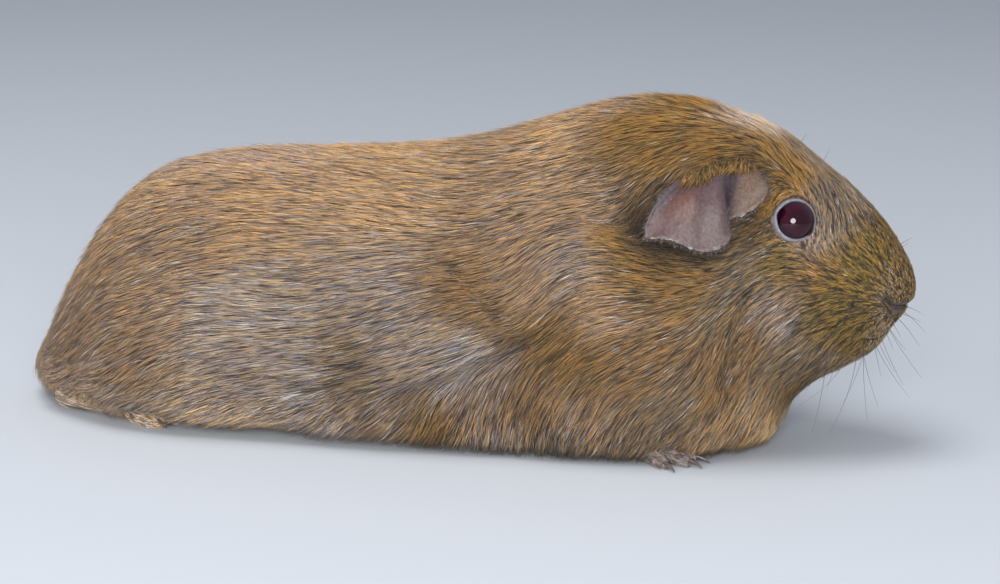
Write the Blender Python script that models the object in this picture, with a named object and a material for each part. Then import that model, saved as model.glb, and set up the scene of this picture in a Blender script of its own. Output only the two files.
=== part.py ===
"""A life-size guinea pig, crouched in a show stance, as solids out to the tips of its coat.

+X runs to the nose, +Y to the animal's left, +Z up. The floor is z = 0, and the origin is on the floor
under the middle of the animal. The body is one loft, from the tail to the nose, of rings that each span
a point of the underside and a point of the back. Thin cuts part it into hindquarters, trunk, neck and
head, and closed cutters part the thighs, forelegs, eye sockets, feet and ears from it.
"""

import math
from typing import NamedTuple

import bmesh
import bpy
import numpy as np
from mathutils import Vector

MM = 0.001
GAP = 0.3  # between neighbouring pieces, in mm as all sizes below
FLOOR = 0.0
RING_POINTS = 28
RINGS_PER_SPAN = 2
SIDES = {"right": -1, "left": 1}


class Station(NamedTuple):
    """One ring of the body: where it meets the underside and the back, and its shape in between."""

    name: str
    under: tuple  # x, z of its lowest point
    back: tuple  # x, z of its highest point
    half_width: float
    widest: float  # share of the way up at which it is widest
    back_power: float  # 2 is round, more is squarer
    under_power: float


BODY = [
    Station("tail tip", (-134.6, 9.0), (-134.9, 14.0), 5, 0.50, 2.0, 2.0),
    Station("tail", (-131.5, 4.5), (-131.0, 19.0), 12, 0.48, 2.0, 2.0),
    Station("tail root", (-127.0, 2.0), (-125.4, 28.0), 19.5, 0.46, 2.0, 2.0),
    Station("rump end", (-120.5, 0.5), (-117.2, 45.5), 28, 0.44, 2.0, 2.3),
    Station("rump", (-110.5, -0.5), (-106.8, 62.0), 35.5, 0.42, 2.0, 2.7),
    Station("hip", (-95.0, -1.5), (-92.0, 74.6), 41.5, 0.39, 2.0, 3.1),
    Station("haunch", (-70.0, -2.0), (-66.0, 80.6), 45.0, 0.38, 2.05, 3.5),
    Station("loin", (-40.0, -2.0), (-38.0, 82.4), 45.5, 0.38, 2.1, 3.6),
    Station("ribs", (-8.0, -2.0), (-10.0, 84.8), 44.5, 0.38, 2.1, 3.6),
    Station("withers", (26.0, -2.0), (12.0, 90.0), 43.0, 0.38, 2.05, 3.9),
    Station("shoulder", (57.0, -2.0), (29.0, 95.8), 41.5, 0.38, 2.0, 3.9),
    Station("chest", (82.0, -1.5), (43.0, 100.3), 39.0, 0.40, 2.0, 2.7),
    Station("collar", (94.0, 1.5), (56.0, 102.6), 36.0, 0.46, 2.0, 2.0),
    Station("throat", (100.5, 13.0), (69.0, 102.4), 32.5, 0.45, 2.0, 2.0),
    Station("jaw", (106.5, 19.2), (82.0, 98.8), 29.5, 0.43, 2.05, 2.0),
    Station("eye", (113.0, 22.8), (94.0, 94.3), 25.5, 0.42, 2.1, 2.1),
    Station("cheek front", (118.5, 26.6), (106.0, 85.2), 21.5, 0.42, 2.2, 2.2),
    Station("bridge", (123.3, 29.8), (116.5, 77.2), 17.5, 0.42, 2.3, 2.3),
    Station("muzzle", (127.2, 34.5), (125.3, 68.4), 13.8, 0.44, 2.4, 2.4),
    Station("lip", (130.2, 39.5), (130.9, 60.4), 10.0, 0.48, 2.4, 2.3),
    Station("nose", (133.0, 43.0), (133.9, 54.6), 6.4, 0.50, 2.2, 2.1),
    Station("nose tip", (134.8, 46.3), (135.0, 50.6), 2.6, 0.50, 2.0, 2.0),
]
PLACE = {station.name: place for place, station in enumerate(BODY)}
# Where the loft is parted, between one station and the next.
HIP_CUT = PLACE["haunch"] + 0.72
COLLAR_CUT = PLACE["chest"] + 0.85
HEAD_CUT = PLACE["throat"] + 0.12


class Mass(NamedTuple):
    """A swelling or hollow of both flanks, as seen from the side."""

    at: tuple  # x, z
    reach: tuple  # how far it runs along x and z
    height: float


MASSES = [
    Mass((-82, 34), (26, 24), 2.6),  # thigh
    Mass((-44, 26), (15, 22), -1.6),  # hollow of the flank
    Mass((-12, 34), (24, 24), 1.2),  # ribs
    Mass((22, 20), (8, 18), -1.8),  # behind the elbow
    Mass((48, 42), (20, 24), 2.4),  # shoulder and upper arm
    Mass((70, 70), (10, 14), -1.6),  # hollow behind the ear
    Mass((94, 43), (13, 13), 1.8),  # cheek
    Mass((103, 84), (9, 6), 1.2),  # brow
    Mass((112, 62), (8, 8), -1.0),  # in front of the eye
    Mass((121, 44), (8, 8), 1.2),  # whisker pad
]

THIGH = {"at": (-81, 44, 30), "radii": (26.5, 19, 27), "pitch": 12}
FORELEG = {"at": (56, 38, 25), "radii": (17, 16, 29), "pitch": -22}

EYE_AT = (101.0, 19.0, 70.4)
EYE_RADIUS = 6.6

NOSTRIL = {"at": (132.6, 7.0, 45.6), "radii": (3.2, 1.8, 1.0), "pitch": 25, "yaw": -35, "segments": 10}
MOUTH = {"at": (126.0, 0, 37.2), "radii": (9.0, 9.5, 0.5), "pitch": -9, "segments": 12}

CLAW_LENGTH, CLAW_RADIUS, CLAW_CURL = 5.2, 0.85, 38
TOE_SIDES, TOE_RINGS = 7, 2


class Foot(NamedTuple):
    """A foot of the right side, with its toes from the outer one to the inner one."""

    heel: tuple  # x, out from the middle, z
    ball: tuple
    heel_radius: float
    ball_radius: float
    toe_length: float
    toe_radius: float
    fan: tuple  # degrees out from the foot's own line, one for each toe
    spread: float  # across the ball, between the outer toes' roots
    set_back: float  # how far the outer toes' roots lie behind the middle ones


FOREFOOT = Foot((56, 25.5, 3.6), (67.5, 28.2, 3.3), 4.8, 4.5, 8.6, 2.1, (28, 5, -10, -28), 7.8, 3.4)
HINDFOOT = Foot((-117, 21.0, 5.6), (-91, 26.0, 3.8), 5.4, 5.0, 10.0, 2.4, (14, -1, -16), 7.6, 1.6)


class EarEdge(NamedTuple):
    """One line of the ear, from its root on the head to its rim: x, out, z at both ends."""

    root: tuple
    rim: tuple
    dome: float  # how far the line bows outwards


EAR = [
    EarEdge((91.5, 19.5, 80.0), (94.2, 24.0, 81.5), 0.6),  # front edge
    EarEdge((91.5, 18.5, 83.0), (95.4, 27.0, 78.6), 1.8),
    EarEdge((89.5, 18.5, 85.5), (91.6, 29.5, 74.6), 3.2),  # front lobe
    EarEdge((86.5, 19.5, 86.5), (85.0, 30.0, 71.4), 1.6),  # notch
    EarEdge((83.5, 21.0, 86.5), (85.2, 32.0, 67.0), 3.0),
    EarEdge((80.0, 22.5, 85.5), (78.5, 36.0, 63.8), 4.4),  # rear lobe
    EarEdge((77.0, 24.0, 84.0), (70.6, 38.6, 65.0), 4.8),
    EarEdge((74.5, 25.5, 82.5), (63.8, 39.6, 66.6), 3.6),
    EarEdge((72.5, 27.0, 80.5), (62.2, 38.0, 70.2), 1.2),  # rear edge
]
EAR_THICKNESS = 1.1
EAR_COLUMNS, EAR_ROWS = 21, 5

MATERIALS = {  # colour, roughness
    "coat": ((0.27, 0.17, 0.085), 0.8),
    "bare_skin": ((0.34, 0.22, 0.19), 0.6),
    "eye": ((0.035, 0.008, 0.01), 0.08),
    "claw": ((0.12, 0.09, 0.08), 0.4),
}


def clear_scene():
    for obj in list(bpy.data.objects):
        bpy.data.objects.remove(obj)


def material(name):
    colour, roughness = MATERIALS[name]
    made = bpy.data.materials.get(name) or bpy.data.materials.new(name)
    made.use_nodes = True
    shader = made.node_tree.nodes["Principled BSDF"]
    shader.inputs["Base Color"].default_value = (*colour, 1)
    shader.inputs["Roughness"].default_value = roughness
    return made


def add_object(name, points, faces, finish, cutter=False):
    """A named object from points in mm. A cutter is left out of the model."""
    mesh = bpy.data.meshes.new(name)
    mesh.from_pydata([Vector(p) * MM for p in points], [], faces)
    body = bmesh.new()
    body.from_mesh(mesh)
    bmesh.ops.recalc_face_normals(body, faces=body.faces)
    body.to_mesh(mesh)
    body.free()
    mesh.shade_smooth()
    obj = bpy.data.objects.new(name, mesh)
    bpy.context.scene.collection.objects.link(obj)
    obj.data.materials.append(material(finish))
    if cutter:
        obj.hide_render = True
        obj.display_type = "WIRE"
    return obj


def boolean(obj, other, operation):
    made = obj.modifiers.new(f"{operation.lower()}_{other.name}", "BOOLEAN")
    made.operation = operation
    made.solver = "EXACT"
    made.object = other


def smooth_between(knots, values, at):
    """A cubic through (knots, values) that never overshoots them, read at each place in at."""
    knots, values = np.asarray(knots, float), np.asarray(values, float)
    step = np.diff(knots)
    slope = np.diff(values) / step
    tangent = np.zeros(len(knots))
    tangent[0], tangent[-1] = slope[0], slope[-1]
    for i in range(1, len(knots) - 1):
        before, after = slope[i - 1], slope[i]
        if before * after > 0:
            heavy, light = 2 * step[i] + step[i - 1], step[i] + 2 * step[i - 1]
            tangent[i] = (heavy + light) / (heavy / before + light / after)
    span = np.clip(np.searchsorted(knots, at, side="right") - 1, 0, len(knots) - 2)
    u = (at - knots[span]) / step[span]
    start = (2 * u**3 - 3 * u**2 + 1) * values[span] + (u**3 - 2 * u**2 + u) * step[span] * tangent[span]
    end = (3 * u**2 - 2 * u**3) * values[span + 1] + (u**3 - u**2) * step[span] * tangent[span + 1]
    return start + end


def column(read, at):
    """One value of the body's stations, smooth along the body, at these places."""
    middles = [(np.array(s.under) + np.array(s.back)) / 2 for s in BODY]
    along = np.concatenate([[0], np.cumsum([np.linalg.norm(b - a) for a, b in zip(middles, middles[1:])])])
    place = np.interp(at, range(len(BODY)), along)
    return smooth_between(along, [read(s) for s in BODY], place)


def signed_power(value, power):
    return math.copysign(abs(value) ** power, value)


def swelling(x, z, y, centre_y):
    """How far the flank stands out at x, z, fading to nothing at the middle of the back and belly."""
    total = sum(
        mass.height * math.exp(-(((x - mass.at[0]) / mass.reach[0]) ** 2) - ((z - mass.at[1]) / mass.reach[1]) ** 2)
        for mass in MASSES
    )
    return total * y / max(centre_y, 1e-6)


def body_rings(places, grow=0.0):
    """The rings of the loft at these places, as lists of points, grown outwards by grow."""
    under_x, under_z = column(lambda s: s.under[0], places), column(lambda s: s.under[1], places)
    back_x, back_z = column(lambda s: s.back[0], places), column(lambda s: s.back[1], places)
    widths = column(lambda s: s.half_width, places)
    widest = column(lambda s: s.widest, places)
    back_powers = column(lambda s: s.back_power, places)
    under_powers = column(lambda s: s.under_power, places)
    rings = []
    for i in range(len(places)):
        under, back = np.array([under_x[i], under_z[i]]), np.array([back_x[i], back_z[i]])
        upward = (back - under) / np.linalg.norm(back - under)
        under, back = under - upward * grow, back + upward * grow
        ring = []
        for k in range(RING_POINTS):
            turn = 2 * math.pi * k / RING_POINTS
            power = 2 / (back_powers[i] if math.sin(turn) >= 0 else under_powers[i])
            y = (widths[i] + grow) * signed_power(math.cos(turn), power)
            rise = signed_power(math.sin(turn), power)
            share = widest[i] + rise * ((1 - widest[i]) if rise >= 0 else widest[i])
            x, z = under + (back - under) * share
            y += swelling(x, z, y, widths[i])
            ring.append((x, y, max(z, FLOOR - grow)))
        rings.append(ring)
    return rings


def loft(rings):
    """(points, faces) of a closed skin over these rings, with flat ends."""
    size = len(rings[0])
    points = [p for ring in rings for p in ring]
    faces = [
        (r * size + k, r * size + (k + 1) % size, (r + 1) * size + (k + 1) % size, (r + 1) * size + k)
        for r in range(len(rings) - 1)
        for k in range(size)
    ]
    faces += [tuple(range(size)), tuple(range(len(points) - size, len(points)))]
    return points, faces


def body_places(start, end):
    """Places along the loft from start to end, at every half of a span."""
    grid = np.arange(0, (len(BODY) - 1) * RINGS_PER_SPAN + 1) / RINGS_PER_SPAN
    inner = grid[(grid > start + 0.05) & (grid < end - 0.05)]
    return np.concatenate([[start], inner, [end]])


def add_body_piece(name, start, end, grow=0.0, cutter=False):
    points, faces = loft(body_rings(body_places(start, end), grow))
    return add_object(name, points, faces, "coat", cutter)


def seam(cut):
    """Half of the thin cut at this place, as a share of a span."""
    lower, upper = BODY[int(cut)], BODY[int(cut) + 1]
    under = math.dist(lower.under, upper.under)
    back = math.dist(lower.back, upper.back)
    return 0.5 * GAP / min(under, back) * 1.4


def tube(centres, radii, sides, flatten=1.0):
    """(points, faces) of a closed tube along these centres, flattened in height, with round ends."""
    centres = [Vector(c) for c in centres]
    points = []
    for i, centre in enumerate(centres):
        before, after = centres[max(i - 1, 0)], centres[min(i + 1, len(centres) - 1)]
        along = (after - before).normalized()
        side = along.cross(Vector((0, 0, 1))).normalized()
        up = side.cross(along)
        for k in range(sides):
            turn = 2 * math.pi * (k + 0.5) / sides
            points.append(centre + (side * math.cos(turn) + up * math.sin(turn) * flatten) * radii[i])
    rings = [points[i * sides : (i + 1) * sides] for i in range(len(centres))]
    return loft(rings)


def capsule(start, end, start_radius, end_radius, sides, rings, flatten=1.0):
    """A tube from start to end whose ends are rounded."""
    start, end = Vector(start), Vector(end)
    along = (end - start).normalized()
    centres, radii = [], []
    turns = [math.radians(90 * k / rings) for k in range(1, rings + 1)]
    for turn in turns:
        centres.append(start - along * start_radius * math.cos(turn))
        radii.append(start_radius * math.sin(turn))
    for turn in reversed(turns):
        centres.append(end + along * end_radius * math.cos(turn))
        radii.append(end_radius * math.sin(turn))
    return tube(centres, radii, sides, flatten)


def ellipsoid(name, at, radii, side, pitch=0.0, yaw=0.0, grow=0.0, cutter=True, finish="coat", segments=16):
    """An ellipsoid, pitched about Y and yawed about Z, for the given side of the body."""
    rings = segments // 2
    pitch, yaw = math.radians(pitch), math.radians(yaw)
    points = []
    for i in range(1, rings):
        down = math.pi * i / rings
        for k in range(segments):
            turn = 2 * math.pi * k / segments
            x = (radii[0] + grow) * math.sin(down) * math.cos(turn)
            y = (radii[1] + grow) * math.sin(down) * math.sin(turn)
            z = (radii[2] + grow) * math.cos(down)
            x, z = x * math.cos(pitch) - z * math.sin(pitch), x * math.sin(pitch) + z * math.cos(pitch)
            x, y = x * math.cos(yaw) - y * math.sin(yaw), x * math.sin(yaw) + y * math.cos(yaw)
            points.append((at[0] + x, side * (at[1] + y), at[2] + z))
    points, faces = loft([points[r * segments : (r + 1) * segments] for r in range(rings - 1)])
    return add_object(name, points, faces, finish, cutter)


def toe_line(foot, index):
    """(root, tip, direction) of one toe of the right foot, with out as +Y."""
    heel, ball = Vector(foot.heel), Vector(foot.ball)
    ahead = (ball - heel).to_2d().normalized()
    across = Vector((-ahead.y, ahead.x))
    share = 0.5 - index / (len(foot.fan) - 1)
    turn = math.radians(foot.fan[index])
    direction = ahead * math.cos(turn) + across * math.sin(turn)
    root = ball.to_2d() + across * share * foot.spread - ahead * foot.set_back * (2 * share) ** 2
    inward = 1 - 0.16 * abs(share) * 2
    tip = root + direction * foot.toe_length * inward
    return (
        Vector((*root, foot.toe_radius + 0.6)),
        Vector((*tip, foot.toe_radius * 0.74)),
        Vector((*direction, 0)),
    )


def mirrored(points, side):
    return [(p[0], side * p[1], p[2]) for p in points]


def add_claw(name, foot, index, side, grow=0.0, cutter=False):
    """A curved claw that grows out of the toe's upper front and bends down to just above the floor."""
    _, tip, direction = toe_line(foot, index)
    steps = 4
    centre = tip + direction * (foot.toe_radius * 0.35) + Vector((0, 0, 0.55))
    centres, radii = [], []
    for i in range(steps):
        share = i / (steps - 1)
        fall = math.radians(8 + CLAW_CURL * share)
        centres.append(centre.copy())
        radii.append(CLAW_RADIUS * (1 - 0.78 * share**1.4) + grow)
        centre += (direction * math.cos(fall) - Vector((0, 0, 1)) * math.sin(fall)) * CLAW_LENGTH / (steps - 1)
    points, faces = tube(centres, radii, 5)
    return add_object(name, mirrored(points, side), faces, "claw", cutter)


def add_foot(name, foot, side, grow=0.0, cutter=False):
    """Sole, ball and toes joined into one solid that stands flat on the floor."""
    points, faces = capsule(
        foot.heel, foot.ball, foot.heel_radius + grow, foot.ball_radius + grow, 9, TOE_RINGS, 0.86
    )
    made = add_object(name, mirrored(points, side), faces, "coat", cutter)
    for index in range(len(foot.fan)):
        root, tip, _ = toe_line(foot, index)
        points, faces = capsule(
            root, tip, foot.toe_radius + grow, foot.toe_radius * 0.86 + grow, TOE_SIDES, TOE_RINGS
        )
        toe = add_object(f"{name}_toe_{index}", mirrored(points, side), faces, "coat", cutter=True)
        boolean(made, toe, "UNION")
    if grow == 0:
        boolean(made, floor_cutter(), "DIFFERENCE")
    return made


def floor_cutter():
    """A slab under the floor, which gives each foot its flat sole."""
    found = bpy.data.objects.get("below_floor")
    if found:
        return found
    reach, depth = 200, 30
    corners = [(x, y) for x, y in ((-reach, -reach), (reach, -reach), (reach, reach), (-reach, reach))]
    points, faces = loft([[(x, y, z) for x, y in corners] for z in (FLOOR - depth, FLOOR)])
    return add_object("below_floor", points, faces, "coat", cutter=True)


def ear_points(side):
    """The ear's middle surface, as rows from the root to the rim."""
    knots = np.arange(len(EAR), dtype=float)
    at = np.linspace(0, len(EAR) - 1, EAR_COLUMNS)

    def through(read):
        return np.stack([smooth_between(knots, [read(e)[axis] for e in EAR], at) for axis in range(3)], axis=1)

    roots, rims = through(lambda e: e.root), through(lambda e: e.rim)
    domes = smooth_between(knots, [e.dome for e in EAR], at)
    outward = np.array([0.0, 0.8, 0.6])
    rows = []
    for v in np.linspace(0, 1, EAR_ROWS):
        bow = np.sin(math.pi * v**0.8)[..., None] if np.ndim(v) else math.sin(math.pi * v**0.8)
        rows.append(roots * (1 - v) + rims * v + outward * (domes * bow)[:, None])
    return [[(x, side * y, z) for x, y, z in row] for row in rows]


def add_ear(name, side):
    rows = ear_points(side)
    points = [p for row in rows for p in row]
    wide = len(rows[0])
    faces = [
        (r * wide + k, r * wide + k + 1, (r + 1) * wide + k + 1, (r + 1) * wide + k)
        for r in range(len(rows) - 1)
        for k in range(wide - 1)
    ]
    made = add_object(name, points, faces, "bare_skin")
    thick = made.modifiers.new("thickness", "SOLIDIFY")
    thick.thickness = EAR_THICKNESS * MM
    thick.offset = 0
    return made


def main():
    clear_scene()
    last = len(BODY) - 1
    hindquarters = add_body_piece("hindquarters", 0, HIP_CUT - seam(HIP_CUT))
    trunk = add_body_piece("trunk", HIP_CUT + seam(HIP_CUT), COLLAR_CUT - seam(COLLAR_CUT))
    neck = add_body_piece("neck", COLLAR_CUT + seam(COLLAR_CUT), HEAD_CUT - seam(HEAD_CUT))
    head = add_body_piece("head", HEAD_CUT + seam(HEAD_CUT), last)
    grown_body = add_body_piece("grown_body", 0, last, GAP, cutter=True)
    boolean(head, ellipsoid("mouth_cutter", side=1, **MOUTH), "DIFFERENCE")
    for label, side in SIDES.items():
        thigh = add_body_piece(f"thigh_{label}", 0, HIP_CUT - seam(HIP_CUT))
        boolean(thigh, ellipsoid(f"thigh_shape_{label}", side=side, **THIGH), "INTERSECT")
        boolean(hindquarters, ellipsoid(f"thigh_room_{label}", side=side, grow=GAP, **THIGH), "DIFFERENCE")

        foreleg = add_body_piece(f"foreleg_{label}", HIP_CUT + seam(HIP_CUT), COLLAR_CUT - seam(COLLAR_CUT))
        boolean(foreleg, ellipsoid(f"foreleg_shape_{label}", side=side, **FORELEG), "INTERSECT")
        boolean(trunk, ellipsoid(f"foreleg_room_{label}", side=side, grow=GAP, **FORELEG), "DIFFERENCE")

        for name, foot, owners in (
            (f"hindfoot_{label}", HINDFOOT, (hindquarters, thigh)),
            (f"forefoot_{label}", FOREFOOT, (trunk, foreleg)),
        ):
            made = add_foot(name, foot, side)
            room = add_foot(f"{name}_room", foot, side, GAP, cutter=True)
            for owner in owners:
                boolean(owner, room, "DIFFERENCE")
            for index in range(len(foot.fan)):
                add_claw(f"claw_{name}_{index + 1}", foot, index, side)
                claw_room = add_claw(f"{name}_claw_room_{index}", foot, index, side, GAP, cutter=True)
                for owner in (made, *owners):
                    boolean(owner, claw_room, "DIFFERENCE")

        eye = {"at": EYE_AT, "radii": (EYE_RADIUS,) * 3, "side": side}
        ellipsoid(f"eye_{label}", cutter=False, finish="eye", segments=18, **eye)
        boolean(head, ellipsoid(f"eye_socket_{label}", grow=GAP, **eye), "DIFFERENCE")
        boolean(head, ellipsoid(f"nostril_{label}", side=side, **NOSTRIL), "DIFFERENCE")
        boolean(add_ear(f"ear_{label}", side), grown_body, "DIFFERENCE")


main()
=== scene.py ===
"""The looks of a life-size guinea pig: skin, coat, ears, eyes, claws and whiskers over its solids.

The animal's sizes are in millimetres, in the model's own frame: +X to the nose, +Y to the
animal's left, +Z up, and the floor at z = 0. A place on it is (x, out, z), with out counted from
the middle, so that one entry serves both sides. The studio's sizes are in metres.
"""

import math
from functools import partial
from typing import NamedTuple

import bmesh
import bpy
import numpy as np
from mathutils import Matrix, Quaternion, Vector, noise
from mathutils.bvhtree import BVHTree
from mathutils.kdtree import KDTree


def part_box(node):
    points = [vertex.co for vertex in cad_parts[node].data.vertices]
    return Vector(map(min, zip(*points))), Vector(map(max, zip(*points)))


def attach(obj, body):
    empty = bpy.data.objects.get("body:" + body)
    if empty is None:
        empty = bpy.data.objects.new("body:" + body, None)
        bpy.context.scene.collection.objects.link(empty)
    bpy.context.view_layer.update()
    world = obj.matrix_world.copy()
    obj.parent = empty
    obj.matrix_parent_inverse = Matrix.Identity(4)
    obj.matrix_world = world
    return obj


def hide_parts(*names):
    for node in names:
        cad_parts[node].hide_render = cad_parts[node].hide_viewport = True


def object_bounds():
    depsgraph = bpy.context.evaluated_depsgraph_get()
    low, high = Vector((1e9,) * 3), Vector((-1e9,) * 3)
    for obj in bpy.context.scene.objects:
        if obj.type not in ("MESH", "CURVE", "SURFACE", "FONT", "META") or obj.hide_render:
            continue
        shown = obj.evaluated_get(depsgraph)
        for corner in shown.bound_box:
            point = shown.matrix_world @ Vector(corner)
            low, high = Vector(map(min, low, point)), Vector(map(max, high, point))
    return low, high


MM = 0.001
SIDES = {"right": -1, "left": 1}
BODY_NODES = ["head", "neck", "trunk", "hindquarters"]
LIMB_NODES = [f"{limb}_{side}" for limb in ("thigh", "foreleg") for side in SIDES]
FOOT_NODES = [f"{foot}_{side}" for foot in ("forefoot", "hindfoot") for side in SIDES]
EAR_NODES = [f"ear_{side}" for side in SIDES]
EYE_NODES = [f"eye_{side}" for side in SIDES]

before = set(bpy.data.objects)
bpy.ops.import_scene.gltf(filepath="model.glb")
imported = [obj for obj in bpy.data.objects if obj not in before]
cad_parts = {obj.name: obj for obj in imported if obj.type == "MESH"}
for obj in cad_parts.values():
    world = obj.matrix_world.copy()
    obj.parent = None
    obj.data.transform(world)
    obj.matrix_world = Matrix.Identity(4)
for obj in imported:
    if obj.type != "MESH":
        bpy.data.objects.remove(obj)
CAD_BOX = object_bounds()
rng = np.random.default_rng(7)


# ---------- the coat


class Kind(NamedTuple):
    """A kind of coat."""

    depth: float  # from the skin to the tips
    length: float
    width: float


KINDS = {
    "nose": Kind(0.35, 1.2, 0.14),
    "muzzle": Kind(0.7, 2.8, 0.15),
    "face": Kind(1.0, 4.4, 0.17),
    "cheek": Kind(1.5, 6.5, 0.18),
    "neck": Kind(2.1, 8.8, 0.20),
    "body": Kind(2.5, 11.0, 0.205),
    "fringe": Kind(2.4, 14.0, 0.195),
}

TONES = {  # colour, and the share of hairs with pale tips: partly real pale hair, partly painted glints
    "gold": (0.420, 0.296, 0.182, 0.04),
    "brown": (0.312, 0.222, 0.150, 0.05),
    "russet": (0.232, 0.149, 0.073, 0.03),
    "grey": (0.285, 0.236, 0.212, 0.04),
    # pale tips gathered in streaks: partly real pale hair, partly painted glints
    "frost": (0.300, 0.258, 0.238, 0.20),
    "tawny": (0.216, 0.130, 0.038, 0.008),
    "olive": (0.152, 0.106, 0.025, 0.004),
    "slate": (0.185, 0.142, 0.098, 0.04),
    "dark": (0.090, 0.060, 0.024, 0.008),
    # painted shade, for the hollow behind the ear
    "black": (0.028, 0.018, 0.010, 0.004),
    "ash": (0.145, 0.116, 0.094, 0.03),
    "buff": (0.375, 0.268, 0.165, 0.05),
    "cream": (0.500, 0.370, 0.215, 0.05),
    "ivory": (0.640, 0.520, 0.400, 0.050),
    # rose: the top of the back, partly a painted highlight of the light from above
    "rose": (0.395, 0.295, 0.235, 0.05),
    "pale": (0.395, 0.340, 0.320, 0.06),
    # bluish pale, partly painted glints
    "silver": (0.360, 0.346, 0.375, 0.22),
}


class Strand(NamedTuple):
    """A kind of hair within the coat: its share, and its colour beside the coat's tone."""

    share: float
    colour: tuple
    width: float


STRANDS = {
    "guard": Strand(0.14, (0.20, 0.18, 0.20), 0.70),
    "brown": Strand(0.24, (0.60, 0.54, 0.54), 0.9),
    "smoke": Strand(0.24, (0.92, 1.00, 1.22), 1.0),
    "gold": Strand(0.38, (1.50, 1.27, 0.86), 1.0),
}
# Colour of pale hair tips, partly real pale hair and partly painted glints
WHITE_TIP_AND_GLINT = (0.66, 0.63, 0.62)
WHITENESS, STRAND_LEFT = 0.7, 0.3  # shares of it and of the strand's colour in a pale-tipped hair, partly a painted glint
WHITE_WIDTH = 0.85


class Lie(NamedTuple):
    """The coat at one place: where it grows, which way it lies, and its kind and tone."""

    at: tuple
    way: tuple
    kind: str
    tone: str


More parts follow.
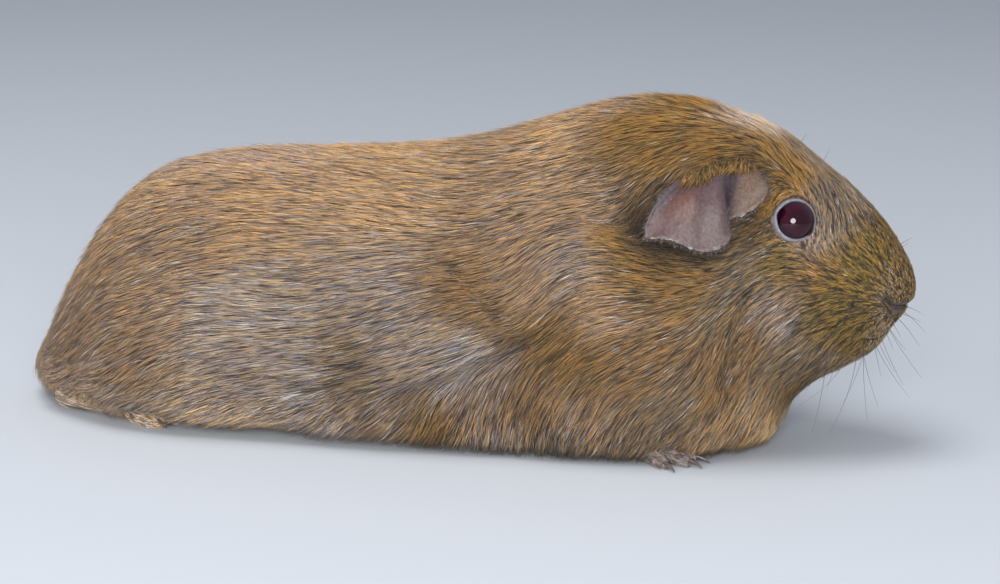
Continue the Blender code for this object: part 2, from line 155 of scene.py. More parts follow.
LIES = {
    "nose top": Lie((134, 0, 51), (-0.2, 0, 0.98), "nose", "dark"),
    "nose bridge": Lie((127, 0, 66), (-0.45, 0, 0.89), "muzzle", "dark"),
    "bridge": Lie((118, 0, 76), (-0.7, 0, 0.71), "face", "ash"),
    "forehead": Lie((104, 0, 87), (-0.75, 0, 0.66), "face", "ash"),
    # pale here: lighter hair on the crest, and partly a painted highlight of the light from above
    "brow": Lie((92, 0, 95), (-0.86, 0, 0.5), "cheek", "pale"),
    "side of the brow": Lie((95, 13, 89), (-0.7, -0.35, 0.62), "face", "tawny"),
    "crown": Lie((72, 0, 102), (-1, 0, 0.12), "neck", "tawny"),
    "nape": Lie((50, 0, 102), (-1, 0, -0.05), "neck", "brown"),
    "side of the nape": Lie((59, 17, 96), (-0.93, 0.27, -0.24), "neck", "tawny"),
    "beside the withers": Lie((35, 13, 94), (-0.89, 0.2, -0.4), "body", "gold"),
    "withers": Lie((22, 0, 93), (-0.97, 0, -0.25), "body", "brown"),
    "back": Lie((-15, 0, 84), (-1, 0, -0.05), "body", "gold"),
    # the loin and croup in rose, partly a painted highlight
    "loin": Lie((-55, 0, 81), (-1, 0, 0), "body", "rose"),
    "croup": Lie((-85, 0, 76), (-0.95, 0, -0.3), "body", "rose"),
    "side of the croup": Lie((-92, 15, 72), (-0.95, -0.1, -0.28), "body", "gold"),
    "rump": Lie((-107, 0, 62), (-0.7, 0, -0.7), "body", "brown"),
    "rump end": Lie((-119, 0, 42), (-0.4, 0, -0.92), "body", "brown"),
    "tail": Lie((-132, 0, 18), (-0.5, 0, -0.85), "neck", "brown"),
    "under the tail": Lie((-126, 0, 3), (-0.3, 0, -0.9), "cheek", "grey"),
    "nose side": Lie((132.5, 5, 47), (-0.2, 0.25, 0.95), "nose", "olive"),
    "nostril wing": Lie((130, 8.5, 49), (-0.55, 0.45, 0.7), "nose", "slate"),
    "muzzle side": Lie((122, 14, 58), (-0.7, 0.2, 0.68), "muzzle", "olive"),
    "upper whisker pad": Lie((119, 18, 53), (-0.88, 0.32, 0.36), "muzzle", "olive"),
    "whisker pad": Lie((120, 16, 45), (-0.95, 0.3, -0.1), "muzzle", "olive"),
    "front of the lip": Lie((127, 11, 38), (-0.3, 0.1, -0.95), "nose", "slate"),
    "lip": Lie((119, 14, 36), (-0.6, 0.15, -0.78), "muzzle", "olive"),
    "chin": Lie((122, 3, 30), (-0.4, 0, -0.9), "muzzle", "slate"),
    "front of the jaw": Lie((113, 16, 31), (-0.45, 0, -0.89), "face", "slate"),
    "jaw": Lie((104, 23, 33), (-0.78, 0.2, -0.6), "cheek", "slate"),
    "throat": Lie((106, 5, 20), (-0.55, 0, -0.83), "cheek", "dark"),
    "before the eye": Lie((111.5, 17.4, 69), (-0.15, -0.3, 0.94), "face", "ash"),
    "corner of the eye": Lie((108, 20.5, 64.5), (-0.2, -0.2, 0.95), "nose", "grey"),
    "above the eye's corner": Lie((111, 13, 76), (-0.45, -0.25, 0.85), "face", "ash"),
    "over the eye": Lie((103, 14.5, 82), (-0.62, -0.2, 0.76), "face", "tawny"),
    # dark here is painted shadow of the ear's front
    "behind the eye": Lie((91, 25, 73), (-0.76, 0.4, -0.45), "face", "dark"),
    "before the cheek": Lie((111, 21.5, 57), (-0.88, 0.3, 0.25), "face", "tawny"),
    "below the eye": Lie((101, 24, 60), (-0.92, 0.33, -0.12), "face", "olive"),
    "back of the cheek": Lie((91.5, 30, 59), (-0.78, 0.36, -0.5), "cheek", "slate"),
    "front of the cheek": Lie((113, 22, 47), (-0.81, 0.43, -0.39), "face", "olive"),
    "cheek": Lie((101, 27, 47), (-0.76, 0.36, -0.53), "cheek", "grey"),
    "before the ear": Lie((96.5, 21, 79), (-0.45, 0.35, -0.8), "face", "tawny"),
    "over the ear's root": Lie((87, 19, 87), (-0.76, 0.52, -0.36), "cheek", "dark"),
    "above the ear": Lie((84, 16, 91), (-0.93, 0.37, 0), "neck", "tawny"),
    "behind the ear top": Lie((68, 23, 88.5), (-0.8, 0.38, -0.46), "neck", "tawny"),
    "behind the ear's root": Lie((70, 27, 82), (-0.58, 0.4, -0.7), "neck", "slate"),
    # painted shade in the hollow behind the ear
    "hollow behind the ear": Lie((62, 31, 75), (-0.28, 0.37, -0.88), "neck", "black"),
    "behind the hollow": Lie((52, 32, 76), (-0.88, 0.1, -0.2), "neck", "brown"),
    "below the hollow": Lie((56, 36, 66), (-0.98, 0, 0.2), "neck", "tawny"),
    # dark here is painted shadow under the ear's rim
    "beneath the ear": Lie((74, 33.5, 62), (-0.95, 0.2, 0.2), "cheek", "dark"),
    "under the ear": Lie((78, 34, 56), (-0.96, 0.25, -0.1), "cheek", "tawny"),
    "top of the neck's side": Lie((63, 38, 57), (-0.98, 0.1, 0.15), "neck", "tawny"),
    "middle of the neck's side": Lie((57, 41, 46), (-0.96, 0.2, -0.18), "neck", "brown"),
    "side of the neck": Lie((71, 37, 43), (-0.92, 0.25, -0.3), "neck", "russet"),
    "lower side of the neck": Lie((64, 40, 33), (-0.88, 0.2, -0.43), "neck", "russet"),
    "before the neck's fold": Lie((85, 34, 48), (-0.69, 0.26, -0.68), "cheek", "slate"),
    "along the neck's fold": Lie((86, 34, 37), (-0.35, 0, -0.94), "cheek", "russet"),
    "behind the jaw": Lie((93, 31, 40), (-0.57, 0.06, -0.82), "cheek", "russet"),
    "foot of the neck's fold": Lie((85, 32, 25), (-0.45, 0.1, -0.89), "cheek", "russet"),
    "foot of the neck": Lie((76, 37, 24), (-0.72, 0.27, -0.62), "neck", "slate"),
    "side of the chest": Lie((92, 23, 15), (-0.58, 0.1, -0.8), "fringe", "buff"),
    "foot of the chest": Lie((85, 25, 7), (-0.3, 0, -0.95), "fringe", "buff"),
    "chest": Lie((97, 5, 10), (-0.4, 0, -0.92), "fringe", "cream"),
    "top of the shoulder": Lie((35, 30, 88), (-0.93, 0.15, -0.34), "body", "brown"),
    "over the shoulder": Lie((48, 38, 61), (-0.95, 0.2, -0.26), "neck", "grey"),
    "shoulder": Lie((36, 41, 57), (-0.7, 0.17, -0.69), "body", "brown"),
    "point of the shoulder": Lie((42, 43, 40), (-0.72, 0, -0.69), "body", "tawny"),
    "below the shoulder": Lie((52, 43, 33), (-0.85, 0.1, -0.52), "body", "tawny"),
    "foreleg": Lie((50, 42.5, 20), (-0.5, 0, -0.86), "fringe", "brown"),
    "upper arm": Lie((31, 43, 24), (-0.4, -0.1, -0.9), "fringe", "russet"),
    "fringe of the foreleg": Lie((62, 38, 6), (-0.3, 0, -0.95), "fringe", "slate"),
    "fringe of the upper arm": Lie((40, 39, 7), (-0.15, 0, -0.98), "fringe", "slate"),
    "hollow of the shoulder": Lie((15, 41.6, 49), (-0.97, 0.03, -0.23), "body", "russet"),
    "behind the shoulder": Lie((22, 42.5, 41), (-0.94, -0.05, -0.35), "body", "russet"),
    # pale lock and the fold above the elbow: pale tips, partly painted glints
    "pale lock of the elbow": Lie((19, 43, 34), (-0.93, 0.05, -0.36), "body", "silver"),
    "above the elbow's fold": Lie((8, 44, 30.5), (-0.96, 0.08, -0.26), "body", "frost"),
    "behind the elbow": Lie((19, 42, 22), (-0.3, 0, -0.95), "fringe", "brown"),
    "rear of the elbow": Lie((5, 43.5, 15), (-0.4, -0.05, -0.91), "fringe", "tawny"),
    "fringe of the elbow": Lie((20, 40, 6), (-0.08, 0, -0.99), "fringe", "grey"),
    "top of the ribs": Lie((-10, 34, 74), (-1, 0, 0.02), "body", "gold"),
    "ribs": Lie((-10, 45, 54), (-0.98, 0.05, -0.18), "body", "grey"),
    "foot of the ribs": Lie((-2, 44.5, 42), (-0.92, 0.1, -0.38), "body", "grey"),
    "end of the pale lock": Lie((-4, 44.5, 25.5), (-0.93, 0.05, -0.36), "body", "grey"),
    "behind the elbow's fold": Lie((-14, 45, 25), (-0.97, 0, -0.24), "body", "slate"),
    "below the ribs": Lie((-10, 43.5, 12), (-0.74, -0.05, -0.67), "fringe", "brown"),
    "fringe of the ribs": Lie((-20, 41, 5), (-0.7, 0, -0.7), "fringe", "pale"),
    "side of the loin": Lie((-50, 35, 70), (-1, 0, -0.08), "body", "gold"),
    "below the loin": Lie((-62, 37, 61), (-0.96, 0.1, -0.26), "body", "brown"),
    # pale tips here, partly painted glints
    "flank": Lie((-50, 46, 42), (-1, 0.05, 0), "body", "frost"),
    "foot of the flank": Lie((-35, 45, 26), (-0.99, 0, -0.12), "body", "frost"),
    "lower flank": Lie((-52, 45, 18), (-0.99, 0, -0.14), "body", "grey"),
    "fringe of the flank": Lie((-55, 40, 5), (-0.88, 0, -0.46), "fringe", "ivory"),
    "top of the thigh": Lie((-85, 37, 60), (-0.88, 0.1, -0.46), "body", "brown"),
    "thigh": Lie((-85, 44, 38), (-0.92, -0.05, -0.38), "body", "brown"),
    "foot of the thigh": Lie((-87, 44, 20), (-0.82, -0.15, -0.55), "body", "brown"),
    "fringe of the thigh": Lie((-88, 37, 5), (-0.93, -0.1, -0.3), "fringe", "grey"),
    "side of the rump": Lie((-108, 28, 45), (-0.6, 0, -0.8), "body", "brown"),
    "corner of the rump": Lie((-109, 35, 30), (-0.62, -0.2, -0.74), "body", "brown"),
    "foot of the rump": Lie((-112, 31, 16), (-0.79, -0.3, -0.5), "neck", "brown"),
    "over the pale edge of the rump": Lie((-117, 29, 11), (-0.9, -0.4, -0.1), "cheek", "brown"),
    "over the pale edge of the thigh": Lie((-104, 38, 10), (-0.95, -0.2, -0.15), "cheek", "brown"),
    "pale edge of the rump": Lie((-119, 25, 3), (0.75, 0.3, -0.4), "cheek", "ivory"),
    "pale edge of the thigh": Lie((-110, 33, 4), (0.9, 0.2, -0.3), "cheek", "ivory"),
    "pale edge over the hind foot": Lie((-100, 37, 3), (0.95, 0.1, -0.3), "cheek", "ivory"),
    "belly at the front": Lie((60, 10, 0), (-1, 0, 0), "fringe", "pale"),
    "belly": Lie((0, 15, 0), (-1, 0, 0), "fringe", "pale"),
    "belly at the back": Lie((-70, 12, 0), (-1, 0, 0), "fringe", "pale"),
}
LIE_REACH, LIE_FADE = 6.0, 2.5  # how far an entry holds its own, and how fast it fades beyond

COAT_BANDS = {  # each piece of coat, and the lowest x that it grows at
    "muzzle": 119,
    "face": 109,
    "cheeks": 96,
    "ears": 80,
    "neck": 60,
    "shoulders": 34,
    "ribs": 4,
    "flanks": -28,
    "loins": -60,
    "haunches": -90,
    "rump": -200,
}
COAT_TUFTS = 220000
CROWDING = 0.75  # how much denser short hair grows than long
UNDERNEATH, BELLY_SHARE = -0.75, 0.25  # below this slope there are fewer tufts, as it isn't seen
LOW_FRINGE, LOW_SHARE = 5, 0.6  # and below this z, as the fringe from above does the covering
LENGTHS, WIDTHS = (0.75, 1.15), (0.75, 1.2)  # the spread among hairs, beside the coat's own
SHADES, CLOUDS, CLOUD_SIZE = (0.85, 1.15), 0.08, 9  # and in their colour, one by one and together
CLUMP_TUFTS, CLUMP_REACH = 8, 3  # tufts in each lock, and how near they grow
CLUMPING, CLUMP_SPREAD = 0.42, 0.25  # how far their tips draw together, and stay apart
STREAK_SIZES, STREAK_REACH, STREAK_STEPS = (0.8, 0.45), 5.5, 9  # widths and half length of streaks
FROST_AND_GLINT_SIZES, FROST_AND_GLINT_REACH = (2.8, 1.5), 12.0  # and of the patches where pale tips and painted glints gather
FROST_AND_GLINT_GATHERED, FROST_AND_GLINT_MOST = 2.2, 5  # how much denser they are there, and the most that is let be
SHORT, LONG = 4, 9  # mm of hair
SHORT_STREAKED, STREAKED = 0.88, 0.62  # how far short and long hairs take after their streak
SHORT_STREAK_RISE, STREAK_RISE = 0.26, 0.14  # and how far streaks stand out or lie low
STRAYING, SWAYING, SWAY_SIZE = 0.05, 0.09, 8  # how far hairs stray, alone and together
STRAY_SHARE, STRAY_WAY, STRAY_RISE = 0.05, 0.16, 0.45  # of the hairs that stand off from the rest
RISE, RISE_SPREAD, RISE_RANGE = 0.80, 0.14, (0.4, 1.12)  # of tips, as a share of the coat's depth
BEND_RISE = 0.62  # of that, half way along the hair
ROOT_SUNK = 0.25  # how far roots lie below the skin
RUFF_TOP, RUFF_FROM, RUFF_RISE = 24, 84, 1.2  # hair stands out below this z, in front of this x
RUFF_TOP_EASE, RUFF_FROM_EASE = 10, 8  # mm over which that sets in
UNDER_EAR_RISE, EAR_SHADE = 0.4, 9.0  # hair lies low where an ear hangs this near over it
FRINGE_TOP, FRINGE_EASE, FRINGE_REACH = 22, 12, 47.5  # hair hangs below this z, up to this far out
FRINGE_WAY, FRINGE_PULL, FRINGE_STRAYING = (1, 0.25, 1), (0, 0, -0.12), 0.10  # of hanging hair
FRINGE_LOWEST, FRINGE_SHORTEST, FRINGE_FLATTEST = 0.06, 0.4, 0.05  # z, length, and slope
FRINGE_LIFT, FRINGE_LIFTS = 0.5, (0.4, 1.9)  # how far it stands off, and the spread of that
FRINGE_ENDS = ((0.5, 0.22), (1.0, 0.16))  # of bends and tips, how far along and off
FRINGE_SHARES = (0.75, 1.0)  # how fully hairs hang
LIFTED_FROM, HANGING_FROM = -0.5, -0.7  # the steepest undersides where hair does so
PATCH = 0.003  # side of one tuft's bake patch, as a share of the map
CHUNK = 20000  # places worked out at once


def mirrored_lies():
    """(places, ways, sizes, tones) of the coat's entries for both sides."""
    rows = []
    for lie in LIES.values():
        for side in (-1, 1):
            at = (lie.at[0], side * lie.at[1], lie.at[2])
            way = (lie.way[0], side * lie.way[1], lie.way[2])
            rows.append((at, way, KINDS[lie.kind], TONES[lie.tone]))
    return [np.array(column, float) for column in zip(*rows)]


def chunks(points):
    return np.array_split(points, max(1, len(points) // CHUNK))


def coat_at(points):
    """The coat at these places, between its entries: way, depth, length, width, tone, and the share
    of pale tips, partly painted glints.
    """
    places, ways, sizes, tones = mirrored_lies()
    found = []
    for part in chunks(points):
        apart = ((part[:, None] - places) ** 2).sum(2)
        weight = 1 / (apart + LIE_REACH**2) ** LIE_FADE
        weight /= weight.sum(1, keepdims=True)
        found.append(np.hstack([weight @ ways, weight @ sizes, weight @ tones]))
    found = np.vstack(found)
    return found[:, :3], found[:, 3], found[:, 4], found[:, 5], found[:, 6:9], found[:, 9]


def unit(vectors):
    return vectors / np.maximum(np.linalg.norm(vectors, axis=1, keepdims=True), 1e-9)


def along_surface(ways, normals):
    return unit(ways - normals * (ways * normals).sum(1, keepdims=True))


SEED_STEPS = (17.3, 7.1, 3.7)  # how far apart the noises of neighbouring seeds lie


def wander(points, size, seed):
    """Smooth noise from -1 to 1 that changes over about this many mm."""
    offset = Vector([seed * step for step in SEED_STEPS])
    return np.array([noise.noise(Vector(p) / size + offset) for p in points])


def wanders(points, waves):
    """The sum of several smooth noises, each with its height, size and seed."""
    return sum(height * wander(points, size, seed) for height, size, seed in waves)


def mixed(colours, other, share):
    """These colours, each with its share of the other colour."""
    return colours * (1 - share[:, None]) + np.array(other) * share[:, None]


def between(values, stops):
    """The colours at these values, eased between stops of (value, colour)."""
    at, tones = zip(*stops)
    return np.stack([np.interp(values, at, part) for part in zip(*tones)], axis=-1)


# ---------- meshes

SEAM = 0.01  # corners this near to each other are one


def mesh_points(mesh):
    points = np.empty(len(mesh.vertices) * 3, np.float32)
    mesh.vertices.foreach_get("co", points)
    return points.reshape(-1, 3).astype(float) / MM


def mesh_normals(mesh):
    normals = np.empty(len(mesh.vertices) * 3, np.float32)
    mesh.vertex_normals.foreach_get("vector", normals)
    return normals.reshape(-1, 3).astype(float)


def mesh_triangles(mesh):
    mesh.calc_loop_triangles()
    corners = np.empty(len(mesh.loop_triangles) * 3, np.int32)
    mesh.loop_triangles.foreach_get("vertices", corners)
    return corners.reshape(-1, 3)


def move_points(mesh, points):
    mesh.vertices.foreach_set("co", (points * MM).astype(np.float32).ravel())
    mesh.update()


def add_piece(name, mesh, materials=()):
    """An object of this mesh, in these materials."""
    obj = bpy.data.objects.new(name, mesh)
    bpy.context.scene.collection.objects.link(obj)
    for material in materials:
        mesh.materials.append(material)
    return obj


def mesh_of(name, points, faces):
    """A smooth mesh from points in mm and faces that all have as many corners."""
    faces = np.asarray(faces, np.int32)
    mesh = bpy.data.meshes.new(name)
    mesh.vertices.add(len(points))
    mesh.vertices.foreach_set("co", (np.asarray(points) * MM).astype(np.float32).ravel())
    mesh.loops.add(faces.size)
    mesh.loops.foreach_set("vertex_index", faces.ravel())
    mesh.polygons.add(len(faces))
    starts = np.arange(0, faces.size, faces.shape[1], dtype=np.int32)
    mesh.polygons.foreach_set("loop_start", starts)
    mesh.update(calc_edges=True)
    mesh.shade_smooth()
    return mesh


def grid(rows, columns, around=False):
    """The corners of each face of a grid of points, given row by row, or ring by ring."""
    faces = []
    for r in range(rows - 1):
        for k in range(columns if around else columns - 1):
            near, after = r * columns, (k + 1) % columns
            faces.append((near + k, near + after, near + columns + after, near + columns + k))
    return faces


def set_values(mesh, name, values):
    """Stores one number or colour for each vertex."""
    values = np.asarray(values, np.float32)
    if values.ndim == 1:
        mesh.attributes.new(name, "FLOAT", "POINT").data.foreach_set("value", values)
        return
    colours = np.hstack([values, np.ones((len(values), 1), np.float32)])
    mesh.attributes.new(name, "FLOAT_COLOR", "POINT").data.foreach_set("color", colours.ravel())


def finished(joined, name):
    """A smooth mesh of all that was joined."""
    mesh = bpy.data.meshes.new(name)
    joined.to_mesh(mesh)
    joined.free()
    mesh.shade_smooth()
    return mesh


def remeshed(name, nodes, voxel, grow, smoothing):
    """One closed mesh round copies of these nodes, each grown so that neighbours run together."""
    joined = bmesh.new()
    for node in nodes:
        piece = bmesh.new()
        piece.from_mesh(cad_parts[node].data)
        bmesh.ops.remove_doubles(piece, verts=piece.verts, dist=SEAM * MM)
        piece.normal_update()
        for vertex in piece.verts:
            vertex.co += vertex.normal * grow * MM
        copy = bpy.data.meshes.new("copy")
        piece.to_mesh(copy)
        piece.free()
        joined.from_mesh(copy)
        bpy.data.meshes.remove(copy)
    obj = add_piece(name, finished(joined, name))
    voxels = obj.modifiers.new("voxels", "REMESH")
    voxels.mode = "VOXEL"
    voxels.voxel_size = voxel * MM
    soften = obj.modifiers.new("soften", "SMOOTH")
    soften.iterations = smoothing
    made = bpy.data.meshes.new_from_object(obj.evaluated_get(bpy.context.evaluated_depsgraph_get()))
    bpy.data.objects.remove(obj)
    made.shade_smooth()
    return made


# ---------- the skin

SKIN_VOXEL, SKIN_GROW, SKIN_SMOOTHING = 1.25, 0.35, 5
SPLIT_SMOOTHING = 0.4  # of the corners between those of the coarser skin
FACE_FROM = 88  # the skin is finer in front of this x
FINE_REACH = 2.2  # and finer again this near to a bare crease
SKIN_UNEVEN, SKIN_UNEVEN_SIZE = 0.12, 14  # how much its depth wanders, over how many mm
SKIN_LOWEST = 0.15  # z, under the belly
FOOT_VOXEL, FOOT_SMOOTHING = 0.55, 3
FOOT_DEPTH = 0.4  # of the hair on a foot
SOLE, SOLE_EASE = 0.4, 1.2  # below this z a foot keeps its solid's shape, easing in above it
FOOT_WRINKLE, FOOT_WRINKLE_SIZE = 0.07, 0.9
LINE_STEP = 0.5  # between the places along a line


def line_places(line):
    """Places all along a line of places, on both sides of the animal."""
    found = []
    for start, end in zip(line, line[1:]):
        shares = np.linspace(0, 1, max(2, int(math.dist(start, end) / LINE_STEP)))
        found += [np.array(start) + (np.array(end) - start) * share for share in shares]
    return np.array([place * (1, side, 1) for side in SIDES.values() for place in found])


def away_from(points, places):
    """How far each point is from the nearest of these places."""
    near = [np.sqrt(((part[:, None] - places) ** 2).sum(2)).min(1) for part in chunks(points)]
    return np.concatenate(near)


class Crease(NamedTuple):
    """A fold or slit of the skin along a line of places."""

    name: str
    line: list
    width: float
    depth: float
    bare: float = 0  # no coat grows this near to it
    dark: float = 0  # how much painted shade darkens the hair in it

    def weight(self, points, laid):
        """1 in the middle of the crease as it is laid on the skin, fading to 0 away from it."""
        return np.exp(-((away_from(points, laid[self.name]) / self.width) ** 2))


CREASES = [
    Crease("nostril", [(128.3, 12.4, 47.6), (129.3, 11.2, 46.0), (130.0, 9.8, 44.4)],
           width=0.75, depth=2.2, bare=1.5),
    Crease("nostril slit", [(129.6, 10.8, 45.2), (132.2, 6.4, 44.2), (134.4, 0, 43.9)],
           width=0.8, depth=1.6, bare=1.5),
    Crease("cleft of the lip", [(134.2, 0, 43.9), (131.8, 0, 41.2), (129.2, 0, 38.0)],
           width=0.5, depth=0.8, bare=0.7),
    Crease("mouth", [(128.6, 0, 38.0), (127.2, 5, 37.0), (124.0, 10, 36.4), (120.5, 13.4, 37.2)],
           width=0.6, depth=1.2, bare=0.8),
    Crease("corner of the mouth", [(117.0, 19.5, 42.0), (115.1, 20.6, 40.6), (113.0, 21.0, 38.5)],
           width=0.7, depth=0.8, bare=0.7),
    Crease("upper whisker pit", [(119.7, 18.8, 47.5), (120.4, 18.4, 47.8)],
           width=0.7, depth=0.8, bare=0.9),
    Crease("lower whisker pit", [(122.6, 16.2, 40.9), (122.9, 16.0, 40.2)],
           width=0.5, depth=0.6, bare=0.7),
    Crease("front whisker pit", [(124.4, 15.1, 52.5), (124.6, 15.0, 52.2)],
           width=0.4, depth=0.4, bare=0.5),
    Crease("fold of the jaw", [(90, 32.5, 50), (87, 33.2, 39), (84, 31.2, 23)],
           width=2.4, depth=1.5, dark=0.2),
    Crease("hollow behind the ear", [(66, 28, 81), (60, 32, 74), (58, 35, 66), (66, 35, 60)],
           width=3.0, depth=1.3, dark=0.45),
    Crease("shade of the ear",
           [(62.5, 37, 66), (67.7, 36.5, 64.9), (72.5, 36, 64.2), (79, 35, 62), (83.5, 33, 63)],
           width=1.7, depth=0.5, dark=0.8),
    Crease("fold of the shoulder", [(6, 40.3, 55), (13, 41.8, 48.5), (22, 42.5, 39), (28, 43, 35)],
           width=2.4, depth=1.1, dark=0.3),
    Crease("fold of the elbow", [(28, 43, 35), (11, 43.4, 26), (-6.5, 44.5, 17)],
           width=2.6, depth=1.6, dark=0.35),
]
CREASE_SHADE = 0.9  # painted shade: how much darker the skin in a bare crease is
NOSE_AT, NOSE_LEATHER = (131.6, 6.5, 43.6), (0.085, 0.060, 0.065)
NOSE_REACH, NOSE_BARE = 3.4, 1.8  # of that colour, and of the skin without hair
EYE_AXIS = (0.40, 0.86, 0.31)  # straight out of the head
EYE_BARE, EYE_MARGIN = 0.35, 0.25  # how far outside the eyeball hair starts and keeps
EYE_CROWDING, EYE_CROWDED = 4, 2.2  # more and shorter hairs grow this near to an eyeball
EYE_SHORT, EYE_SHORT_EASE = 0.45, 8  # share of their length beside it, and how soon it is whole
EYE_TURNING, EYE_TURNING_REACH = 1.1, 6.0  # hair that heads for an eyeball turns aside this near
EYE_HIT_REACH, SHORTEST = 30, 0.5  # the farthest hair that could hit it, and the shortest left
EYE_SKIN = (0.115, 0.088, 0.070)
EYE_SKIN_REACH, EYE_SKIN_EASE = 1.6, 1.2  # all of it 0.7 mm from an eyeball, none at 1.9 mm
SKIN_SHADE = 0.34  # of the coat's colour


def refine(mesh, chosen):
    """Splits in four the faces whose corners are all chosen."""
    body = bmesh.new()
    body.from_mesh(mesh)
    body.verts.ensure_lookup_table()
    edges = [edge for edge in body.edges if all(chosen[vertex.index] for vertex in edge.verts)]
    bmesh.ops.subdivide_edges(body, edges=edges, cuts=1, use_grid_fill=True)
    fresh = [vertex for vertex in body.verts if vertex.index == -1 or vertex.index >= len(chosen)]
    axes = {f"use_axis_{axis}": True for axis in "xyz"}
    bmesh.ops.smooth_vert(body, verts=fresh, factor=SPLIT_SMOOTHING, **axes)
    body.to_mesh(mesh)
    body.free()
    mesh.shade_smooth()


def eye_ball(side):
    """(centre, radius, axis) of the eye, the axis pointing straight out of the head."""
    low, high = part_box(f"eye_{side}")
    centre = np.array((low + high) / 2) / MM
    radius = (high.x - low.x) / 2 / MM
    axis = np.array(EYE_AXIS) * (1, SIDES[side], 1)
    return centre, radius, axis / np.linalg.norm(axis)


def from_eyes(points):
    """How far each point is from the nearer eyeball."""
    gaps = []
    for centre, radius, _ in map(eye_ball, SIDES):
        gaps.append(np.linalg.norm(points - centre, axis=1) - radius)
    return np.min(gaps, axis=0)


def from_nose(points):
    """How far each point is from the middle of the nose's bare leather on its side."""
    return away_from(points, line_places([NOSE_AT, NOSE_AT]))


def body_skin():
    """The body's skin, inside the solids by the coat's depth, and the places of its creases."""
    nodes = BODY_NODES + LIMB_NODES + EYE_NODES
    mesh = remeshed("body_skin", nodes, SKIN_VOXEL, SKIN_GROW, SKIN_SMOOTHING)
    refine(mesh, mesh_points(mesh)[:, 0] > FACE_FROM)
    points = mesh_points(mesh)
    near = np.zeros(len(points), bool)
    for crease in CREASES:
        if crease.bare:
            near |= away_from(points, line_places(crease.line)) < FINE_REACH
    refine(mesh, near)
    points, normals = mesh_points(mesh), mesh_normals(mesh)
    depth = coat_at(points)[1] * (1 + SKIN_UNEVEN * wander(points, SKIN_UNEVEN_SIZE, 1))
    points -= normals * (depth + SKIN_GROW)[:, None]
    move_points(mesh, points)
    tree = tree_of([mesh])
    laid = {crease.name: nearest_on(tree, line_places(crease.line))[0] for crease in CREASES}
    for crease in CREASES:
        points -= normals * (crease.depth * crease.weight(points, laid))[:, None]
    points[:, 2] = np.maximum(points[:, 2], SKIN_LOWEST)
    move_points(mesh, points)
    return mesh, laid


def foot_skin(node):
    mesh = remeshed(f"{node}_skin", [node], FOOT_VOXEL, 0, FOOT_SMOOTHING)
    points, normals = mesh_points(mesh), mesh_normals(mesh)
    above = np.clip((points[:, 2] - SOLE) / SOLE_EASE, 0, 1)
    points -= normals * (FOOT_DEPTH * above)[:, None]
    wrinkles = FOOT_WRINKLE * wander(points, FOOT_WRINKLE_SIZE, 3)
    points -= normals * (wrinkles * above)[:, None]
    move_points(mesh, points)
    return mesh


EAR = np.array([  # lines of the flap: root under the hair, rim, and how far it bows outwards
    (91.8, 20.0, 81.0, 92.6, 24.0, 84.6, 0.5),  # front edge
    (91.4, 19.2, 83.2, 94.6, 26.4, 82.6, 1.4),
    (90.6, 18.8, 84.6, 95.2, 28.0, 80.4, 2.0),
    (89.4, 18.6, 85.4, 94.4, 29.0, 78.2, 2.5),  # front lobe
    (88.2, 18.8, 86.0, 92.4, 29.8, 76.0, 2.5),
    (87.2, 19.3, 86.4, 89.3, 30.4, 73.9, 2.6),
    (86.4, 19.7, 86.6, 85.8, 30.6, 72.1, 2.2),
    (85.2, 20.0, 86.7, 83.2, 30.8, 71.4, 0.9),  # groove
    (81.8, 21.6, 86.2, 84.3, 32.0, 69.6, 2.2),
    (79.8, 22.5, 85.7, 86.2, 33.8, 68.2, 3.0),
    (78.7, 23.1, 85.3, 85.3, 35.4, 66.2, 3.6),
    (77.9, 23.6, 84.9, 82.9, 37.0, 64.5, 3.9),
    (77.1, 24.1, 84.5, 79.3, 38.0, 63.7, 4.4),  # rear lobe
    (76.3, 24.6, 84.1, 75.8, 38.8, 64.5, 4.6),
    (75.4, 25.2, 83.6, 72.2, 39.3, 66.3, 4.2),
    (74.5, 25.7, 83.1, 67.8, 39.5, 67.5, 3.6),
    (73.4, 26.3, 82.8, 62.6, 39.2, 66.3, 2.8),
    (72.8, 26.7, 82.6, 62.2, 38.2, 70.4, 2.0),
    (72.2, 27.0, 82.7, 64.2, 36.6, 75.4, 1.4),
    (71.8, 27.0, 83.2, 66.6, 33.2, 80.3, 0.7),  # rear edge
])
EAR_SWELLS = [  # line of the ear, share of the way to the rim, reach in each, and mm outwards
    (7.2, 0.50, 0.8, 0.40, -1.0),
    (13.6, 0.45, 1.3, 0.18, 0.6),
    (12.2, 0.72, 1.0, 0.16, -0.6),
    (10.2, 0.60, 0.9, 0.22, 0.5),
    (3.6, 0.50, 1.0, 0.25, 0.4),
    (15.2, 0.80, 0.9, 0.15, -0.4),
    (15.0, 0.30, 2.2, 0.10, -0.5),
]
EAR_OUTWARD = (0.0, 0.8, 0.6)  # across the flap
EAR_DOMED = 0.8  # under 1, the flap bows most near its root
EAR_FLARE, EAR_FLARE_FROM = 0.5, 0.86  # mm that the rim turns outwards, from this share of the way
EAR_RIPPLES = [(0.30, 3.2, 5), (0.14, 1.3, 6)]  # mm, size and seed
EAR_RIPPLED = 0.25  # share of the ripples at the root
EAR_CRINKLES = [(0.5, 2.2, 7), (0.3, 0.9, 8)]  # mm, size and seed, of the rim alone
EAR_CRINKLES_FROM, EAR_CRINKLES_EASE = 0.85, 0.15  # shares of the way from the root
EAR_HALF_THICKNESS, EAR_EDGE = 0.42, 0.35  # and how soon it is reached from the edge
EAR_COLUMNS = 150
EAR_SOFTENING = 9  # rounds
EAR_ROWS = np.concatenate([np.linspace(0, 0.94, 40), np.linspace(0.95, 1, 9)])
EAR_SUNK, EAR_SUNK_SHARE = 3.2, -0.1  # mm that the root goes on into the head, and its share


def near_on_ear(along, down, line, share, reach, spread):
    """1 at a place of the ear, fading to 0 away from it."""
    return np.exp(-(((along - line) / reach) ** 2) - ((down - share) / spread) ** 2)[:, None]


